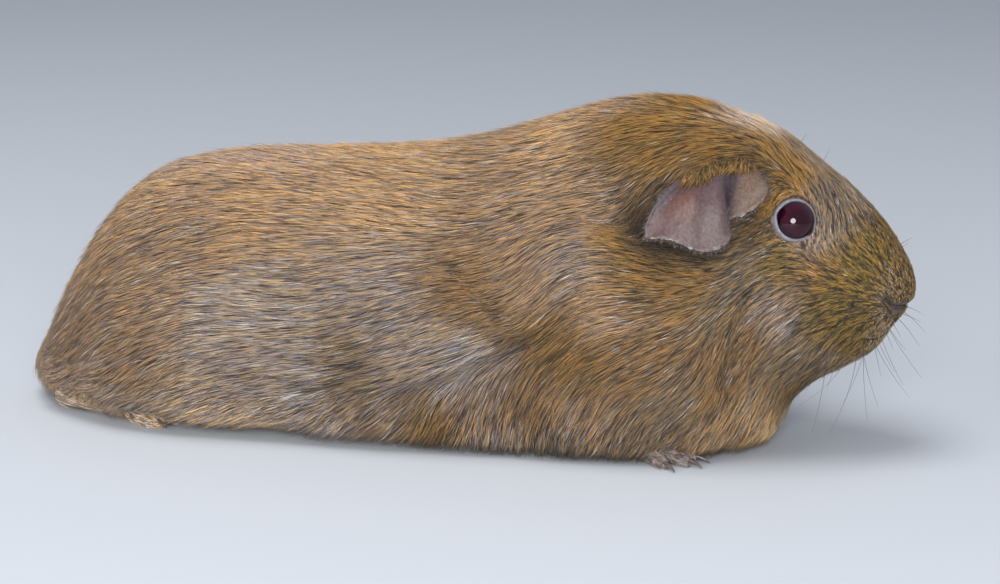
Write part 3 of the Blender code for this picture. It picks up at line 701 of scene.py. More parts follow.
def ear_sheet():
    """The flap from root to rim: middle surface, outward ways, and (line, share) of each place."""
    along = np.linspace(0, len(EAR) - 1, EAR_COLUMNS)
    lines = range(len(EAR))
    softened = np.stack([np.interp(along, lines, column) for column in EAR.T], axis=1)
    for _ in range(EAR_SOFTENING):
        softened[1:-1] = 0.5 * softened[1:-1] + 0.25 * (softened[:-2] + softened[2:])
    root, rim, dome = softened[:, :3], softened[:, 3:6], softened[:, 6:]
    outward = np.array(EAR_OUTWARD)
    rows = [root - outward * EAR_SUNK]
    places = [np.stack([along, np.full(EAR_COLUMNS, EAR_SUNK_SHARE)], axis=1)]
    for down in EAR_ROWS:
        bow = dome * math.sin(math.pi * down**EAR_DOMED)
        for *place, swell in EAR_SWELLS:
            bow = bow + swell * near_on_ear(along, down, *place)
        flare = EAR_FLARE * max(0.0, (down - EAR_FLARE_FROM) / (1 - EAR_FLARE_FROM)) ** 2
        rows.append(root * (1 - down) + rim * down + outward * (bow + flare))
        places.append(np.stack([along, np.full(EAR_COLUMNS, down)], axis=1))
    rows, places = np.array(rows), np.array(places)
    down = places[..., 1].clip(0, 1)
    ripple = wanders(rows.reshape(-1, 3), EAR_RIPPLES).reshape(down.shape)
    rippled = EAR_RIPPLED + (1 - EAR_RIPPLED) * down**2
    rows += outward * (ripple * rippled)[..., None]
    crinkle = wanders(rows.reshape(-1, 3), EAR_CRINKLES).reshape(down.shape)
    rows[..., 2] += crinkle * np.clip((down - EAR_CRINKLES_FROM) / EAR_CRINKLES_EASE, 0, 1)
    across = np.gradient(rows, axis=1)
    downwards = np.gradient(rows, axis=0)
    facing = unit(np.cross(across, downwards).reshape(-1, 3)).reshape(rows.shape)
    return rows, facing * np.sign((facing * outward).sum(-1, keepdims=True)), places


def ear_skin(side):
    """An ear, a flap with a round rim, and (line, share of the way to the rim) of each point."""
    rows, facing, places = ear_sheet()
    high, wide = rows.shape[:2]
    to_rim = np.linalg.norm(rows[-1] - rows, axis=-1)
    to_front = np.linalg.norm(rows[:, :1] - rows, axis=-1)
    to_rear = np.linalg.norm(rows[:, -1:] - rows, axis=-1)
    margin = np.minimum(np.minimum(to_rim, to_front), to_rear)
    half = EAR_HALF_THICKNESS * (1 - np.exp(-margin / EAR_EDGE))[..., None]
    points = np.array([rows + facing * half, rows - facing * half]).reshape(-1, 3)
    faces = []
    for a, b, c, d in grid(high, wide):
        faces += [(a, d, c, b), tuple(high * wide + corner for corner in (b, c, d, a))]
    points[:, 1] *= SIDES[side]
    mesh = mesh_of(f"ear_{side}_skin", points, faces)
    if side == "left":
        mesh.flip_normals()
    return mesh, np.tile(places.reshape(-1, 2), (2, 1))


LID_OPENING = 55  # degrees from the eye's axis
LID_PROFILE = [  # degrees beyond the opening, and mm over the ball
    (0, 0.03),
    (1, 0.22),
    (3.5, 0.34),
    (7, 0.36),
    (10.5, 0.28),
    (14, 0.20),
    (20, 0.14),
    (27, 0.04),
    (36, -0.30),
]
LID_CORNERS = [(-30, 11.0, 13), (165, 4.0, 16)]  # degrees round the ring, of opening, of spread
LID_OVAL, LID_OVAL_AT = 1.5, 40  # degrees more and less of opening, and where round the ring
LID_WRINKLES = [(0.05, 17, 0), (0.04, 29, 60)]  # mm, how many, and degrees round the ring
LID_HOOD = 0.30  # mm more over the top of the ball
LID_STEPS = 96


def lid_skin(side):
    """The rim of both lids, a soft ring that hugs the ball and runs out under the skin."""
    centre, radius, axis = eye_ball(side)
    forward = unit(np.array([[1.0, 0, 0]]) - axis * axis[0])[0]
    upward = np.cross(axis, forward) * -SIDES[side]
    rows = []
    for spread, over in LID_PROFILE:
        row = []
        for turn in np.linspace(0, 360, LID_STEPS, endpoint=False):
            opening = LID_OPENING + LID_OVAL * math.sin(math.radians(turn * 2 + LID_OVAL_AT))
            for place, more, reach in LID_CORNERS:
                apart = (turn - place + 180) % 360 - 180
                opening += more * math.exp(-((apart / reach) ** 2))
            more = LID_HOOD * max(0.0, math.sin(math.radians(turn)))
            wrinkle = sum(h * math.sin(math.radians(turn * n + at)) for h, n, at in LID_WRINKLES)
            reach = radius + over + (wrinkle + more) * min(1, over)
            down, angle = math.radians(opening + spread), math.radians(turn)
            sideways = forward * math.cos(angle) + upward * math.sin(angle)
            row.append(centre + reach * (axis * math.cos(down) + sideways * math.sin(down)))
        rows.append(row)
    points = np.array(rows).reshape(-1, 3)
    mesh = mesh_of(f"lid_{side}", points, grid(len(rows), LID_STEPS, around=True))
    if side == "left":
        mesh.flip_normals()
    return mesh


def build_skin(materials):
    """One piece for all the flesh. Gives what hair grows on: body, its creases, ears, feet."""
    body, laid = body_skin()
    parts = [(body, 0, laid)]
    ears = []
    for side in SIDES:
        ear, places = ear_skin(side)
        ears.append(ear)
        parts.append((ear, 1, places))
    parts += [(lid_skin(side), 2, None) for side in SIDES]
    feet = {node: foot_skin(node) for node in FOOT_NODES}
    parts += [(foot, 3, node) for node, foot in feet.items()]
    joined = bmesh.new()
    colours = []
    for mesh, slot, more in parts:
        mesh.polygons.foreach_set("material_index", np.full(len(mesh.polygons), slot, np.int32))
        joined.from_mesh(mesh)
        colours.append(SKIN_COLOURS[slot](mesh_points(mesh), more))
    mesh = finished(joined, "skin")
    # the skin's colours, with painted shade in its creases and in the ear's groove
    set_values(mesh, "marking_and_painted_shade", np.vstack(colours))
    skin = add_piece("skin", mesh, materials)
    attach(skin, "root")
    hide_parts(*BODY_NODES, *LIMB_NODES, *FOOT_NODES, *EAR_NODES)
    return body, laid, ears, feet


def tree_of(meshes):
    """A tree for finding the nearest place on these meshes, in mm."""
    points, faces, first = [], [], 0
    for mesh in meshes:
        points += mesh_points(mesh).tolist()
        faces += (mesh_triangles(mesh) + first).tolist()
        first = len(points)
    return BVHTree.FromPolygons(points, faces, all_triangles=True)


def body_colour(points, creases):
    """The skin under the coat carries the coat's own colours, darker, with painted shade in its
    bare creases.
    """
    colour = coat_at(points)[4] * SKIN_SHADE
    colour = mixed(colour, NOSE_LEATHER, np.exp(-((from_nose(points) / NOSE_REACH) ** 4)))
    near_eye = np.clip(EYE_SKIN_REACH - from_eyes(points) / EYE_SKIN_EASE, 0, 1)
    colour = mixed(colour, EYE_SKIN, near_eye)
    # painted shade in the bare creases
    for crease in CREASES:
        if crease.bare:
            colour *= 1 - CREASE_SHADE * crease.weight(points, creases)[:, None]
    return colour


EAR_TONES = [  # line of the ear, share of the way to the rim, reach in each, and colour
    (1.5, 0.5, 2.4, 0.5, (0.085, 0.057, 0.041)),
    (4.0, 0.6, 1.6, 0.4, (0.104, 0.064, 0.042)),
    # the groove: greyish, partly painted shade of its fold
    (7.2, 0.3, 1.2, 0.6, (0.051, 0.041, 0.047)),
    (10.5, 0.8, 1.8, 0.3, (0.080, 0.052, 0.048)),
    (11.0, 0.35, 1.8, 0.25, (0.076, 0.047, 0.051)),
    (13.2, 0.95, 2.2, 0.2, (0.076, 0.049, 0.043)),
    (14.3, 0.55, 1.3, 0.20, (0.102, 0.046, 0.031)),
    (15.0, 0.33, 2.6, 0.10, (0.080, 0.038, 0.039)),
    (16.0, 0.80, 1.2, 0.25, (0.092, 0.053, 0.048)),
    (12.5, 0.08, 5.0, 0.20, (0.050, 0.037, 0.041)),
    (17.5, 0.45, 1.5, 0.5, (0.059, 0.043, 0.046)),
]
EAR_SCURF = (0.20, 0.185, 0.17)
EAR_SCURF_LINES = (4, 16.2)  # the part of the rim that has it
EAR_SCURF_SIZE, EAR_SCURF_CONTRAST, EAR_SCURF_MORE = 0.8, 2.2, 0.2
EAR_SPECK_SIZE, EAR_SPECK_CONTRAST, EAR_SPECK_FROM, EAR_SPECK = 0.5, 6, 0.62, 0.6
EAR_RIM, EAR_RIM_EASE = 0.95, 0.04  # where the rim begins, as a share of the way from the root


def ear_colour(points, places):
    """Greyish in the groove, partly painted shade of its fold, and at the root; pinker behind, with
    a pale, scurfy rim.
    """
    weight, colour = 1e-6, np.zeros((len(points), 3))
    along, down = places.T
    for *place, tone in EAR_TONES:
        near = near_on_ear(along, down, *place)
        colour += near * np.array(tone)
        weight = weight + near
    colour /= weight
    rim = np.clip((down - EAR_RIM) / EAR_RIM_EASE, 0, 1)
    bits = EAR_SCURF_CONTRAST * wander(points, EAR_SCURF_SIZE, 9) + EAR_SCURF_MORE
    rim *= np.clip(bits, 0, 1)
    rim *= (along > EAR_SCURF_LINES[0]) & (along < EAR_SCURF_LINES[1])
    specks = EAR_SPECK_CONTRAST * (wander(points, EAR_SPECK_SIZE, 10) - EAR_SPECK_FROM)
    specks = np.clip(specks, 0, 1) * EAR_SPECK
    return mixed(colour, EAR_SCURF, np.clip(np.maximum(rim, specks), 0, 1))


LID_MOTTLE, LID_MOTTLE_SIZE = 0.25, 1.3
LID_TONES = [  # row of the profile, and colour
    (0, (0.04, 0.03, 0.04)),
    (1, (0.13, 0.115, 0.14)),
    (2, (0.21, 0.195, 0.23)),
    (4, (0.20, 0.185, 0.215)),
    (5, (0.15, 0.13, 0.13)),
    (6, (0.09, 0.07, 0.06)),
    (8, (0.07, 0.05, 0.04)),
]


def lid_colour(points, _):
    """A dark wet edge, then a pale rim that darkens into the face."""
    ring = np.repeat(np.arange(len(LID_PROFILE)), LID_STEPS)
    mottle = 1 + LID_MOTTLE * wander(points, LID_MOTTLE_SIZE, 4)
    return between(ring, LID_TONES) * mottle[:, None]


FOOT_TONES = {"forefoot": (0.13, 0.10, 0.095), "hindfoot": (0.30, 0.22, 0.17)}
FOOT_MOTTLE, FOOT_MOTTLE_SIZE = 0.2, 2.0


def foot_colour(points, node):
    mottle = 1 + FOOT_MOTTLE * wander(points, FOOT_MOTTLE_SIZE, 4)
    return np.array(FOOT_TONES[node.split("_")[0]]) * mottle[:, None]


SKIN_COLOURS = [body_colour, ear_colour, lid_colour, foot_colour]


# ---------- tufts


def scatter(mesh, count, density):
    """(places, normals) strewn over the mesh, as dense as density(places, normals) says."""
    points, normals, corners = mesh_points(mesh), mesh_normals(mesh), mesh_triangles(mesh)
    a, b, c = (points[corners[:, k]] for k in range(3))
    area = 0.5 * np.linalg.norm(np.cross(b - a, c - a), axis=1)
    weight = area * density((a + b + c) / 3, normals[corners].mean(1))
    chosen = rng.choice(len(corners), count, p=weight / weight.sum())
    u, v = np.sqrt(rng.random((count, 1))), rng.random((count, 1))
    shares = np.stack([1 - u, u * (1 - v), u * v], axis=1)
    corners = corners[chosen]
    return (points[corners] * shares).sum(1), unit((normals[corners] * shares).sum(1))


def nearest_on(tree, points):
    """(places, normals) on the tree's surface nearest to these points."""
    found = [tree.find_nearest(point) for point in points.tolist()]
    return np.array([hit[0] for hit in found]), np.array([hit[1] for hit in found])


class Tufts(NamedTuple):
    """Many tufts, each a closed spindle of three sides that bends once on its way to the tip."""

    root: np.ndarray
    bend: np.ndarray
    tip: np.ndarray
    out: np.ndarray  # which way is up from the skin
    width: np.ndarray
    tone: np.ndarray

    def taken(self, which):
        return Tufts(*[column[which] for column in self])


def all_of(laid):
    """Several lots of tufts as one."""
    return Tufts(*[np.concatenate(column) for column in zip(*laid)])


# The corners of one tuft are its root, three round the bend, and its tip.
TUFT_RING = [(-0.5, -0.1), (0.5, -0.1), (0.0, 0.36)]
TUFT_FACES = [(0, 1, 2), (0, 2, 3), (0, 3, 1), (4, 2, 1), (4, 3, 2), (4, 1, 3)]
TUFT_ALONG = [0, 0.5, 0.5, 0.5, 1]
TUFT_ACROSS = [0.5, 0, 1, 0.5, 0.5]
TUFT_PAINTED_SHADING = np.array([1.0, 0.62, 0.72, 1.28, 1.10])  # painted shade along its edges, a painted highlight down the middle
TUFT_CORNERS = len(TUFT_ALONG)
TUFT_LOWEST = 0.03


def tuft_mesh(name, tufts):
    """One mesh of all these tufts, each with its bake patch at its root's place on the body."""
    count = len(tufts.root)
    across = unit(np.cross(tufts.tip - tufts.root, tufts.out))
    points = np.empty((count, TUFT_CORNERS, 3))
    points[:, 0], points[:, -1] = tufts.root, tufts.tip
    for k, (sideways, up) in enumerate(TUFT_RING):
        points[:, k + 1] = tufts.bend + (across * sideways + tufts.out * up) * tufts.width[:, None]
    points[..., 2] = np.maximum(points[..., 2], TUFT_LOWEST)
    first = TUFT_CORNERS * np.arange(count)[:, None, None]
    faces = (np.array(TUFT_FACES) + first).reshape(-1, 3)
    mesh = mesh_of(name, points.reshape(-1, 3), faces)
    # each corner's colour carries the tuft's painted shade and highlight
    set_values(mesh, "marking_and_painted_shade", (tufts.tone[:, None] * TUFT_PAINTED_SHADING[:, None]).reshape(-1, 3))
    set_values(mesh, "along", np.tile(TUFT_ALONG, count))
    place = body_unwrap(tufts.root)
    low, high = place.min(0), place.max(0)
    place = (place - low) / (high - low) * (1 - PATCH)
    patch = np.stack([TUFT_ACROSS, TUFT_ALONG], axis=1) * PATCH
    corners = (place[:, None] + patch[None]).reshape(-1, 2)[faces.ravel()]
    mesh.uv_layers.new(name="OFBake").data.foreach_set("uv", corners.astype(np.float32).ravel())
    return mesh


def body_unwrap(points):
    """A flat map of the body: along it by the angle on a long egg, and round its middle height."""
    low, high = (np.array(corner) / MM for corner in CAD_BOX)
    share = (points[:, 0] - low[0]) / (high[0] - low[0])
    along = np.arccos(np.clip(1 - 2 * share, -1, 1)) / math.pi
    around = np.arctan2(points[:, 1], (high[2] / 2 - points[:, 2])) / (2 * math.pi) + 0.5
    return np.stack([along, around], axis=1)


def around_eyes(places, ways, lengths):
    """Turns and shortens the tufts beside an eye, so that none lies over it."""
    for side in SIDES:
        centre, radius, _ = eye_ball(side)
        towards = centre - places
        distance = np.linalg.norm(towards, axis=1)
        near = np.clip(1 - (distance - radius) / EYE_TURNING_REACH, 0, 1)
        heading = (ways * towards).sum(1) / distance
        turn = np.maximum(heading, 0) * near * EYE_TURNING
        ways = unit(ways - towards / distance[:, None] * turn[:, None])
        forward = (ways * towards).sum(1)
        miss = distance**2 - forward**2
        clear = (radius + EYE_MARGIN) ** 2
        hits = (forward > 0) & (miss < clear) & (distance < EYE_HIT_REACH)
        reach = forward - np.sqrt(np.maximum(clear - miss, 0))
        lengths = np.where(hits, np.minimum(lengths, np.maximum(reach, SHORTEST)), lengths)
    return ways, lengths


def coat_density(places, normals, creases):
    """Tufts for each square mm: more where they are small, few underneath, none on bare skin."""
    _, _, length, width, _, _ = coat_at(places)
    density = (length * width) ** -CROWDING
    density *= np.where(normals[:, 2] < UNDERNEATH, BELLY_SHARE, 1)
    density *= np.where(places[:, 2] < LOW_FRINGE, LOW_SHARE, 1)
    for crease in CREASES:
        if crease.bare:
            density *= away_from(places, creases[crease.name]) > crease.bare
    margin = from_eyes(places)
    density *= (from_nose(places) > NOSE_BARE) & (margin > EYE_BARE)
    return density * (1 + EYE_CROWDING * np.exp(-((margin / EYE_CROWDED) ** 2)))


def hair_colours(tone, frost, pick, tip):
    """(colours, widths) of hairs in a coat of this tone, from two random numbers for each."""
    edges = np.cumsum([strand.share for strand in STRANDS.values()])
    kind = np.minimum(np.searchsorted(edges / edges[-1], pick), len(edges) - 1)
    colour = tone * np.array([strand.colour for strand in STRANDS.values()])[kind]
    width = np.array([strand.width for strand in STRANDS.values()])[kind]
    # pale tips: partly real pale hair, partly painted glints
    white_tip_and_glint = tip < frost
    whitish_and_glint = WHITENESS * np.array(WHITE_TIP_AND_GLINT) + STRAND_LEFT * colour
    colour = np.where(white_tip_and_glint[:, None], whitish_and_glint, colour)
    return colour, width * np.where(white_tip_and_glint, WHITE_WIDTH, 1)


def streaks(points, ways, reach, sizes):
    """Noise drawn out along the coat, so that hairs in line are alike, with a spread of 1."""
    total = np.zeros(len(points))
    for step in np.linspace(-1, 1, STREAK_STEPS):
        places = points + ways * (reach * step)[:, None]
        total += sum(wander(places, size, seed) for seed, size in enumerate(sizes, 51))
    return total / total.std()


def ranked(values):
    """Each value's place among them all, from 0 to 1."""
    return values.argsort().argsort() / len(values)


def under(ears, places, normals):
    """Which places an ear hangs over."""
    tree = tree_of(ears)
    rays = zip(places.tolist(), normals.tolist())
    return np.array([tree.ray_cast(*ray, EAR_SHADE)[0] is not None for ray in rays])


def lay_coat(body, creases, ears):
    """The tufts of the body's coat, laid over the skin in locks that draw together."""
    root, out = scatter(body, COAT_TUFTS, partial(coat_density, creases=creases))
    count = len(root)
    way, depth, length, width, tone, frost = coat_at(root)
    sway = np.stack([wander(root, SWAY_SIZE, seed) for seed in (21, 22, 23)], axis=1)
    way = along_surface(way + SWAYING * sway, out)
    size = length / length.max()
    streak = streaks(root, way, size * STREAK_REACH, STREAK_SIZES)
    # painted glints, partly real pale hair: pale tips gathered in streaks along the coat
    gathered = FROST_AND_GLINT_GATHERED * streaks(root, way, size * FROST_AND_GLINT_REACH, FROST_AND_GLINT_SIZES)
    frost *= np.clip(gathered, 0, FROST_AND_GLINT_MOST)
    streaked = np.interp(length, [SHORT, LONG], [SHORT_STREAKED, STREAKED])
    streak_rise = np.interp(length, [SHORT, LONG], [SHORT_STREAK_RISE, STREAK_RISE])
    stray = rng.random(count) < STRAY_SHARE
    way += (STRAYING + STRAY_WAY * stray)[:, None] * rng.standard_normal(way.shape)
    length = length * rng.uniform(*LENGTHS, count)
    length *= np.clip(EYE_SHORT + from_eyes(root) / EYE_SHORT_EASE, 0, 1)
    way, length = around_eyes(root, way, length)
    way = along_surface(way, out)
    rise = RISE + streak_rise * streak + RISE_SPREAD * rng.standard_normal(count)
    rise = np.clip(rise, *RISE_RANGE) + STRAY_RISE * stray
    low = np.clip((RUFF_TOP - root[:, 2]) / RUFF_TOP_EASE, 0, 1)
    front = np.clip((root[:, 0] - RUFF_FROM) / RUFF_FROM_EASE, 0, 1)
    rise += RUFF_RISE * low * front
    covered = under(ears, root, out)
    rise[covered] *= UNDER_EAR_RISE
    skin_tree, whole_tree = tree_of([body]), tree_of([body, *ears])

    def settled(places):
        """(places, normals) on the skin, and on the ears too for hair that no ear hangs over."""
        found = np.empty((2, count, 3))
        for which, tree in ((covered, skin_tree), (~covered, whole_tree)):
            found[:, which] = nearest_on(tree, places[which])
        return found

    bend, bend_out = settled(root + (way * length[:, None] * 0.5))
    bend_way = along_surface(0.5 * way + 0.5 * coat_at(bend)[0], bend_out)
    tip, tip_out = settled(bend + bend_way * length[:, None] * 0.5)
    bend += bend_out * (depth * BEND_RISE * rise)[:, None]
    tip += tip_out * (depth * rise)[:, None]
    bend, tip = hung(root, out, way, length, bend, tip)
    tip = locked(root, tip, length, stray)
    pick = ranked(streaked * streak + np.sqrt(1 - streaked**2) * rng.standard_normal(count))
    colour, thickness = hair_colours(tone, frost, pick, rng.random(count))
    colour *= (rng.uniform(*SHADES, count) + CLOUDS * wander(root, CLOUD_SIZE, 31))[:, None]
    # painted shade: the hair in folds and under the ear darkened
    for crease in CREASES:
        if crease.dark:
            colour *= 1 - crease.dark * crease.weight((root + tip) / 2, creases)[:, None]
    width = width * thickness * rng.uniform(*WIDTHS, count)
    return Tufts(root - out * ROOT_SUNK, bend, tip, out, width, colour)


def hung(root, out, way, length, bend, tip):
    """(bends, tips), with the hair near the floor hanging straight to it in a ragged fringe."""
    fall = way * FRINGE_WAY + np.array(FRINGE_PULL)
    fall = unit(fall + FRINGE_STRAYING * rng.standard_normal(fall.shape))
    to_floor = (root[:, 2] - FRINGE_LOWEST) / np.maximum(-fall[:, 2], FRINGE_FLATTEST)
    reach = np.minimum(length, np.maximum(to_floor, FRINGE_SHORTEST))[:, None]
    lift = out * (FRINGE_LIFT * reach * (out[:, 2:] > LIFTED_FROM))
    share = np.clip((FRINGE_TOP - root[:, 2]) / FRINGE_EASE, 0, 1)
    share = share * (out[:, 2] > HANGING_FROM) * (fall[:, 2] < 0)
    share = (share * rng.uniform(*FRINGE_SHARES, len(root)))[:, None]
    ends = []
    for place, (along, off) in zip((bend, tip), FRINGE_ENDS):
        lifted = lift * off * rng.uniform(*FRINGE_LIFTS, (len(root), 1))
        hanging = root + fall * reach * along + lifted
        hanging[:, 1] = np.clip(hanging[:, 1], -FRINGE_REACH, FRINGE_REACH)
        ends.append(place + (hanging - place) * share)
    return ends


def locked(root, tip, length, stray):
    """The tips drawn together in locks, each round one of the hairs; stray hairs stay out."""
    guides = KDTree(len(root) // CLUMP_TUFTS)
    for i in range(len(root) // CLUMP_TUFTS):
        guides.insert(root[i], i)
    guides.balance()
    guide = np.array([guides.find(place)[1] for place in root])
    off = root - root[guide]
    drawn = CLUMPING * np.exp(-np.linalg.norm(off, axis=1) / CLUMP_REACH)
    drawn *= (length / length.max()) * ~stray
    return tip + (tip[guide] + off * CLUMP_SPREAD - tip) * drawn[:, None]


class FootHair(NamedTuple):
    """The hair of one kind of foot."""

    tufts: int
    kind: Kind
    way: tuple
    tone: tuple
    # share of pale tips, partly painted glints
    white_tip_and_glint: float


FOOT_HAIR = {
    "forefoot": FootHair(
        3600, Kind(0.65, 3.6, 0.15), (1.0, 0.25, -0.25), (0.19, 0.150, 0.142), 0.30
    ),
    "hindfoot": FootHair(
        5000, Kind(1.5, 9.0, 0.24), (1.0, 0.02, -0.06), (0.60, 0.48, 0.36), 0.15
    ),
}
FOOT_STRAYING, FOOT_SUNK, FOOT_BEND_LIFT = 0.14, 0.1, 0.8
FOOT_BARE_SLOPE = 0.45  # hair thins out to none on skin that faces this far down
FOOT_LENGTHS, FOOT_LIFTS = (0.6, 1.15), (0.5, 1.3)  # the spread among its hairs


def upper_side(_, normals):
    return np.clip(normals[:, 2] + FOOT_BARE_SLOPE, 0, 1)


def lay_foot_hair(feet):
    """Hair down the upper side of each foot, towards its toes."""
    laid = []
    for node, mesh in feet.items():
        limb, side = node.split("_")
        hair = FOOT_HAIR[limb]
        root, out = scatter(mesh, hair.tufts, upper_side)
        mirror = np.array([1, SIDES[side], 1])
        way = np.array(hair.way) * mirror + FOOT_STRAYING * rng.standard_normal(root.shape)
        way = along_surface(way, out)
        length = hair.kind.length * rng.uniform(*FOOT_LENGTHS, (hair.tufts, 1))
        lift = hair.kind.depth * rng.uniform(*FOOT_LIFTS, (hair.tufts, 1))
        tree = tree_of([mesh])
        bend, bend_out = nearest_on(tree, root + way * length * 0.5)
        tip, tip_out = nearest_on(tree, bend + along_surface(way, bend_out) * length * 0.5)
        tone = np.tile(hair.tone, (hair.tufts, 1))
        white_tip_and_glint = np.full(hair.tufts, hair.white_tip_and_glint)
        picks = rng.random(hair.tufts), rng.random(hair.tufts)
        colour, thickness = hair_colours(tone, white_tip_and_glint, *picks)
        bend, tip = bend + bend_out * lift * FOOT_BEND_LIFT, tip + tip_out * lift
        root, width = root - out * FOOT_SUNK, hair.kind.width * thickness
        laid.append(Tufts(root, bend, tip, out, width, colour))
    return all_of(laid)


EAR_FUZZ, EAR_FUZZ_KIND, EAR_FUZZ_TONE = 3800, Kind(0.24, 2.4, 0.12), (0.105, 0.086, 0.084)
EAR_FUZZ_FROM, EAR_FUZZ_STRAYING = (80, 21, 87), 0.18  # the down points away from here
EAR_FUZZ_LENGTHS, EAR_FUZZ_SHADES, EAR_FUZZ_SKEW = (0.6, 1.3), (0.3, 1.7), 1.5
EAR_FUZZ_SUNK, EAR_FUZZ_FACING = 0.05, 0.2  # and the least that its skin faces outwards


def lay_ear_fuzz(ears):
    """Fine short down over the outer face of each ear, towards its rim."""
    laid = []
    for side, mesh in zip(SIDES, ears):
        mirror = np.array([1, SIDES[side], 1])
        facing = np.array(EAR_OUTWARD) * mirror

        def outer(_, normals):
            return normals @ facing > EAR_FUZZ_FACING

        root, out = scatter(mesh, EAR_FUZZ, outer)
        way = unit(root - np.array(EAR_FUZZ_FROM) * mirror)
        way = along_surface(way + EAR_FUZZ_STRAYING * rng.standard_normal(root.shape), out)
        length = EAR_FUZZ_KIND.length * rng.uniform(*EAR_FUZZ_LENGTHS, (EAR_FUZZ, 1))
        bend = root + way * length * 0.5 + out * EAR_FUZZ_KIND.depth
        tip = root + way * length + out * EAR_FUZZ_KIND.depth
        shades = rng.uniform(*EAR_FUZZ_SHADES, (EAR_FUZZ, 1)) ** EAR_FUZZ_SKEW
        width = np.full(EAR_FUZZ, EAR_FUZZ_KIND.width)
        tone = np.array(EAR_FUZZ_TONE) * shades
        laid.append(Tufts(root - out * EAR_FUZZ_SUNK, bend, tip, out, width, tone))
    return all_of(laid)


EAR_COVER, EAR_COVER_WIDTH = 2400, 0.21  # hairs over the root of each ear
EAR_COVER_BACK, EAR_COVER_SUNK = (-0.5, 3.5), 2.0  # how far behind the root and below they grow
EAR_COVER_TONE, EAR_COVER_SHADES, EAR_COVER_DARKER = TONES["tawny"][:3], (0.05, 1.15), 1.3
EAR_COVER_MORE, EAR_COVER_SKEW = 1.6, 1.4  # some hairs reach further, and most less far
EAR_COVER_BEND = 0.4  # how far along a hair its bend is
EAR_COVER_SLANT = (0.7, 0.7)  # lines of the ear that tips lie further back: mean and spread
EAR_COVER_BEND_LIFTS, EAR_COVER_TIP_LIFTS = (0.5, 1.5), (0.2, 0.9)  # mm over the ear
EAR_COVER_REACH = [  # line of the ear, and share of the way to the rim
    (0, 0.20),
    (3, 0.26),
    (6, 0.20),
    (8, 0.12),
    (10, 0.16),
    (13, 0.24),
    (16, 0.18),
    (19, 0.08),
]


def lay_ear_cover():
    """Hair of the head that falls over the root of each ear."""
    rows, _, _ = ear_sheet()
    along = rng.uniform(0, len(EAR) - 1, EAR_COVER)
    reach = np.interp(along, *zip(*EAR_COVER_REACH)) * EAR_COVER_MORE
    reach = reach * rng.random(EAR_COVER) ** EAR_COVER_SKEW

    def on_sheet(line, down):
        column = np.clip(line / (len(EAR) - 1) * (EAR_COLUMNS - 1), 0, EAR_COLUMNS - 1).astype(int)
        row = np.searchsorted(EAR_ROWS, np.clip(down, 0, 1)) + 1
        return rows[row, column]

    outward = np.array(EAR_OUTWARD)
    start, rim = on_sheet(along, np.zeros(EAR_COVER)), on_sheet(along, np.ones(EAR_COVER))
    back = unit(start - rim) * rng.uniform(*EAR_COVER_BACK, (EAR_COVER, 1))
    root = start + back - outward * EAR_COVER_SUNK
    bend = on_sheet(along + EAR_COVER_BEND, reach * EAR_COVER_BEND)
    bend = bend + outward * rng.uniform(*EAR_COVER_BEND_LIFTS, (EAR_COVER, 1))
    bend = bend + back * EAR_COVER_BEND
    tip = on_sheet(along + rng.normal(*EAR_COVER_SLANT, EAR_COVER), reach)
    tip = tip + outward * rng.uniform(*EAR_COVER_TIP_LIFTS, (EAR_COVER, 1))
    shades = rng.uniform(*EAR_COVER_SHADES, (EAR_COVER, 1)) ** EAR_COVER_DARKER
    tone = np.array(EAR_COVER_TONE) * shades
    picks = rng.random(EAR_COVER), rng.random(EAR_COVER)
    colour, thickness = hair_colours(tone, np.zeros(EAR_COVER), *picks)
    laid = []
    for side in SIDES.values():
        mirror = np.array([1, side, 1])
        out = np.tile(outward * mirror, (EAR_COVER, 1))
        places = [place * mirror for place in (root, bend, tip)]
        laid.append(Tufts(*places, out, EAR_COVER_WIDTH * thickness, colour))
    return all_of(laid)


def add_coat(body, creases, ears, feet, material):
    """The coat in bands from the nose to the rump, and the hair of the feet."""
    coat = lay_coat(body, creases, ears)
    above = 1e9
    for name, lowest in COAT_BANDS.items():
        band = (coat.root[:, 0] >= lowest) & (coat.root[:, 0] < above)
        add_tufts(f"coat_{name}", coat.taken(band), material)
        above = lowest
    add_tufts("coat_feet", lay_foot_hair(feet), material)
    add_tufts("down_of_the_ears", lay_ear_fuzz(ears), material)
    add_tufts("hair_over_the_ears", lay_ear_cover(), material)


def add_tufts(name, tufts, material):
    piece = add_piece(name, tuft_mesh(name, tufts), [material])
    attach(piece, "root")


# ---------- eyes, claws, whiskers

EYE_RINGS = [  # share of the radius from the axis, and colour
    (0.00, (0.014, 0.001, 0.004)),
    (0.38, (0.015, 0.001, 0.005)),
    (0.54, (0.025, 0.001, 0.006)),
    (0.66, (0.020, 0.001, 0.006)),
    (0.75, (0.008, 0.001, 0.004)),
    (0.82, (0.003, 0.002, 0.005)),
    (0.89, (0.008, 0.006, 0.009)),
    (1.00, (0.150, 0.130, 0.140)),
]
CORNEA_BULGE, CORNEA_REACH = 0.22, 40  # mm, and degrees from the axis
EYE_FLECKS, EYE_WAVES = 0.16, (23, 11)  # how pale and dark its streaks are, and how many
EYE_ROWS, EYE_COLUMNS = 72, 96
EYE_POLE = 0.5  # degrees round each end that one corner closes


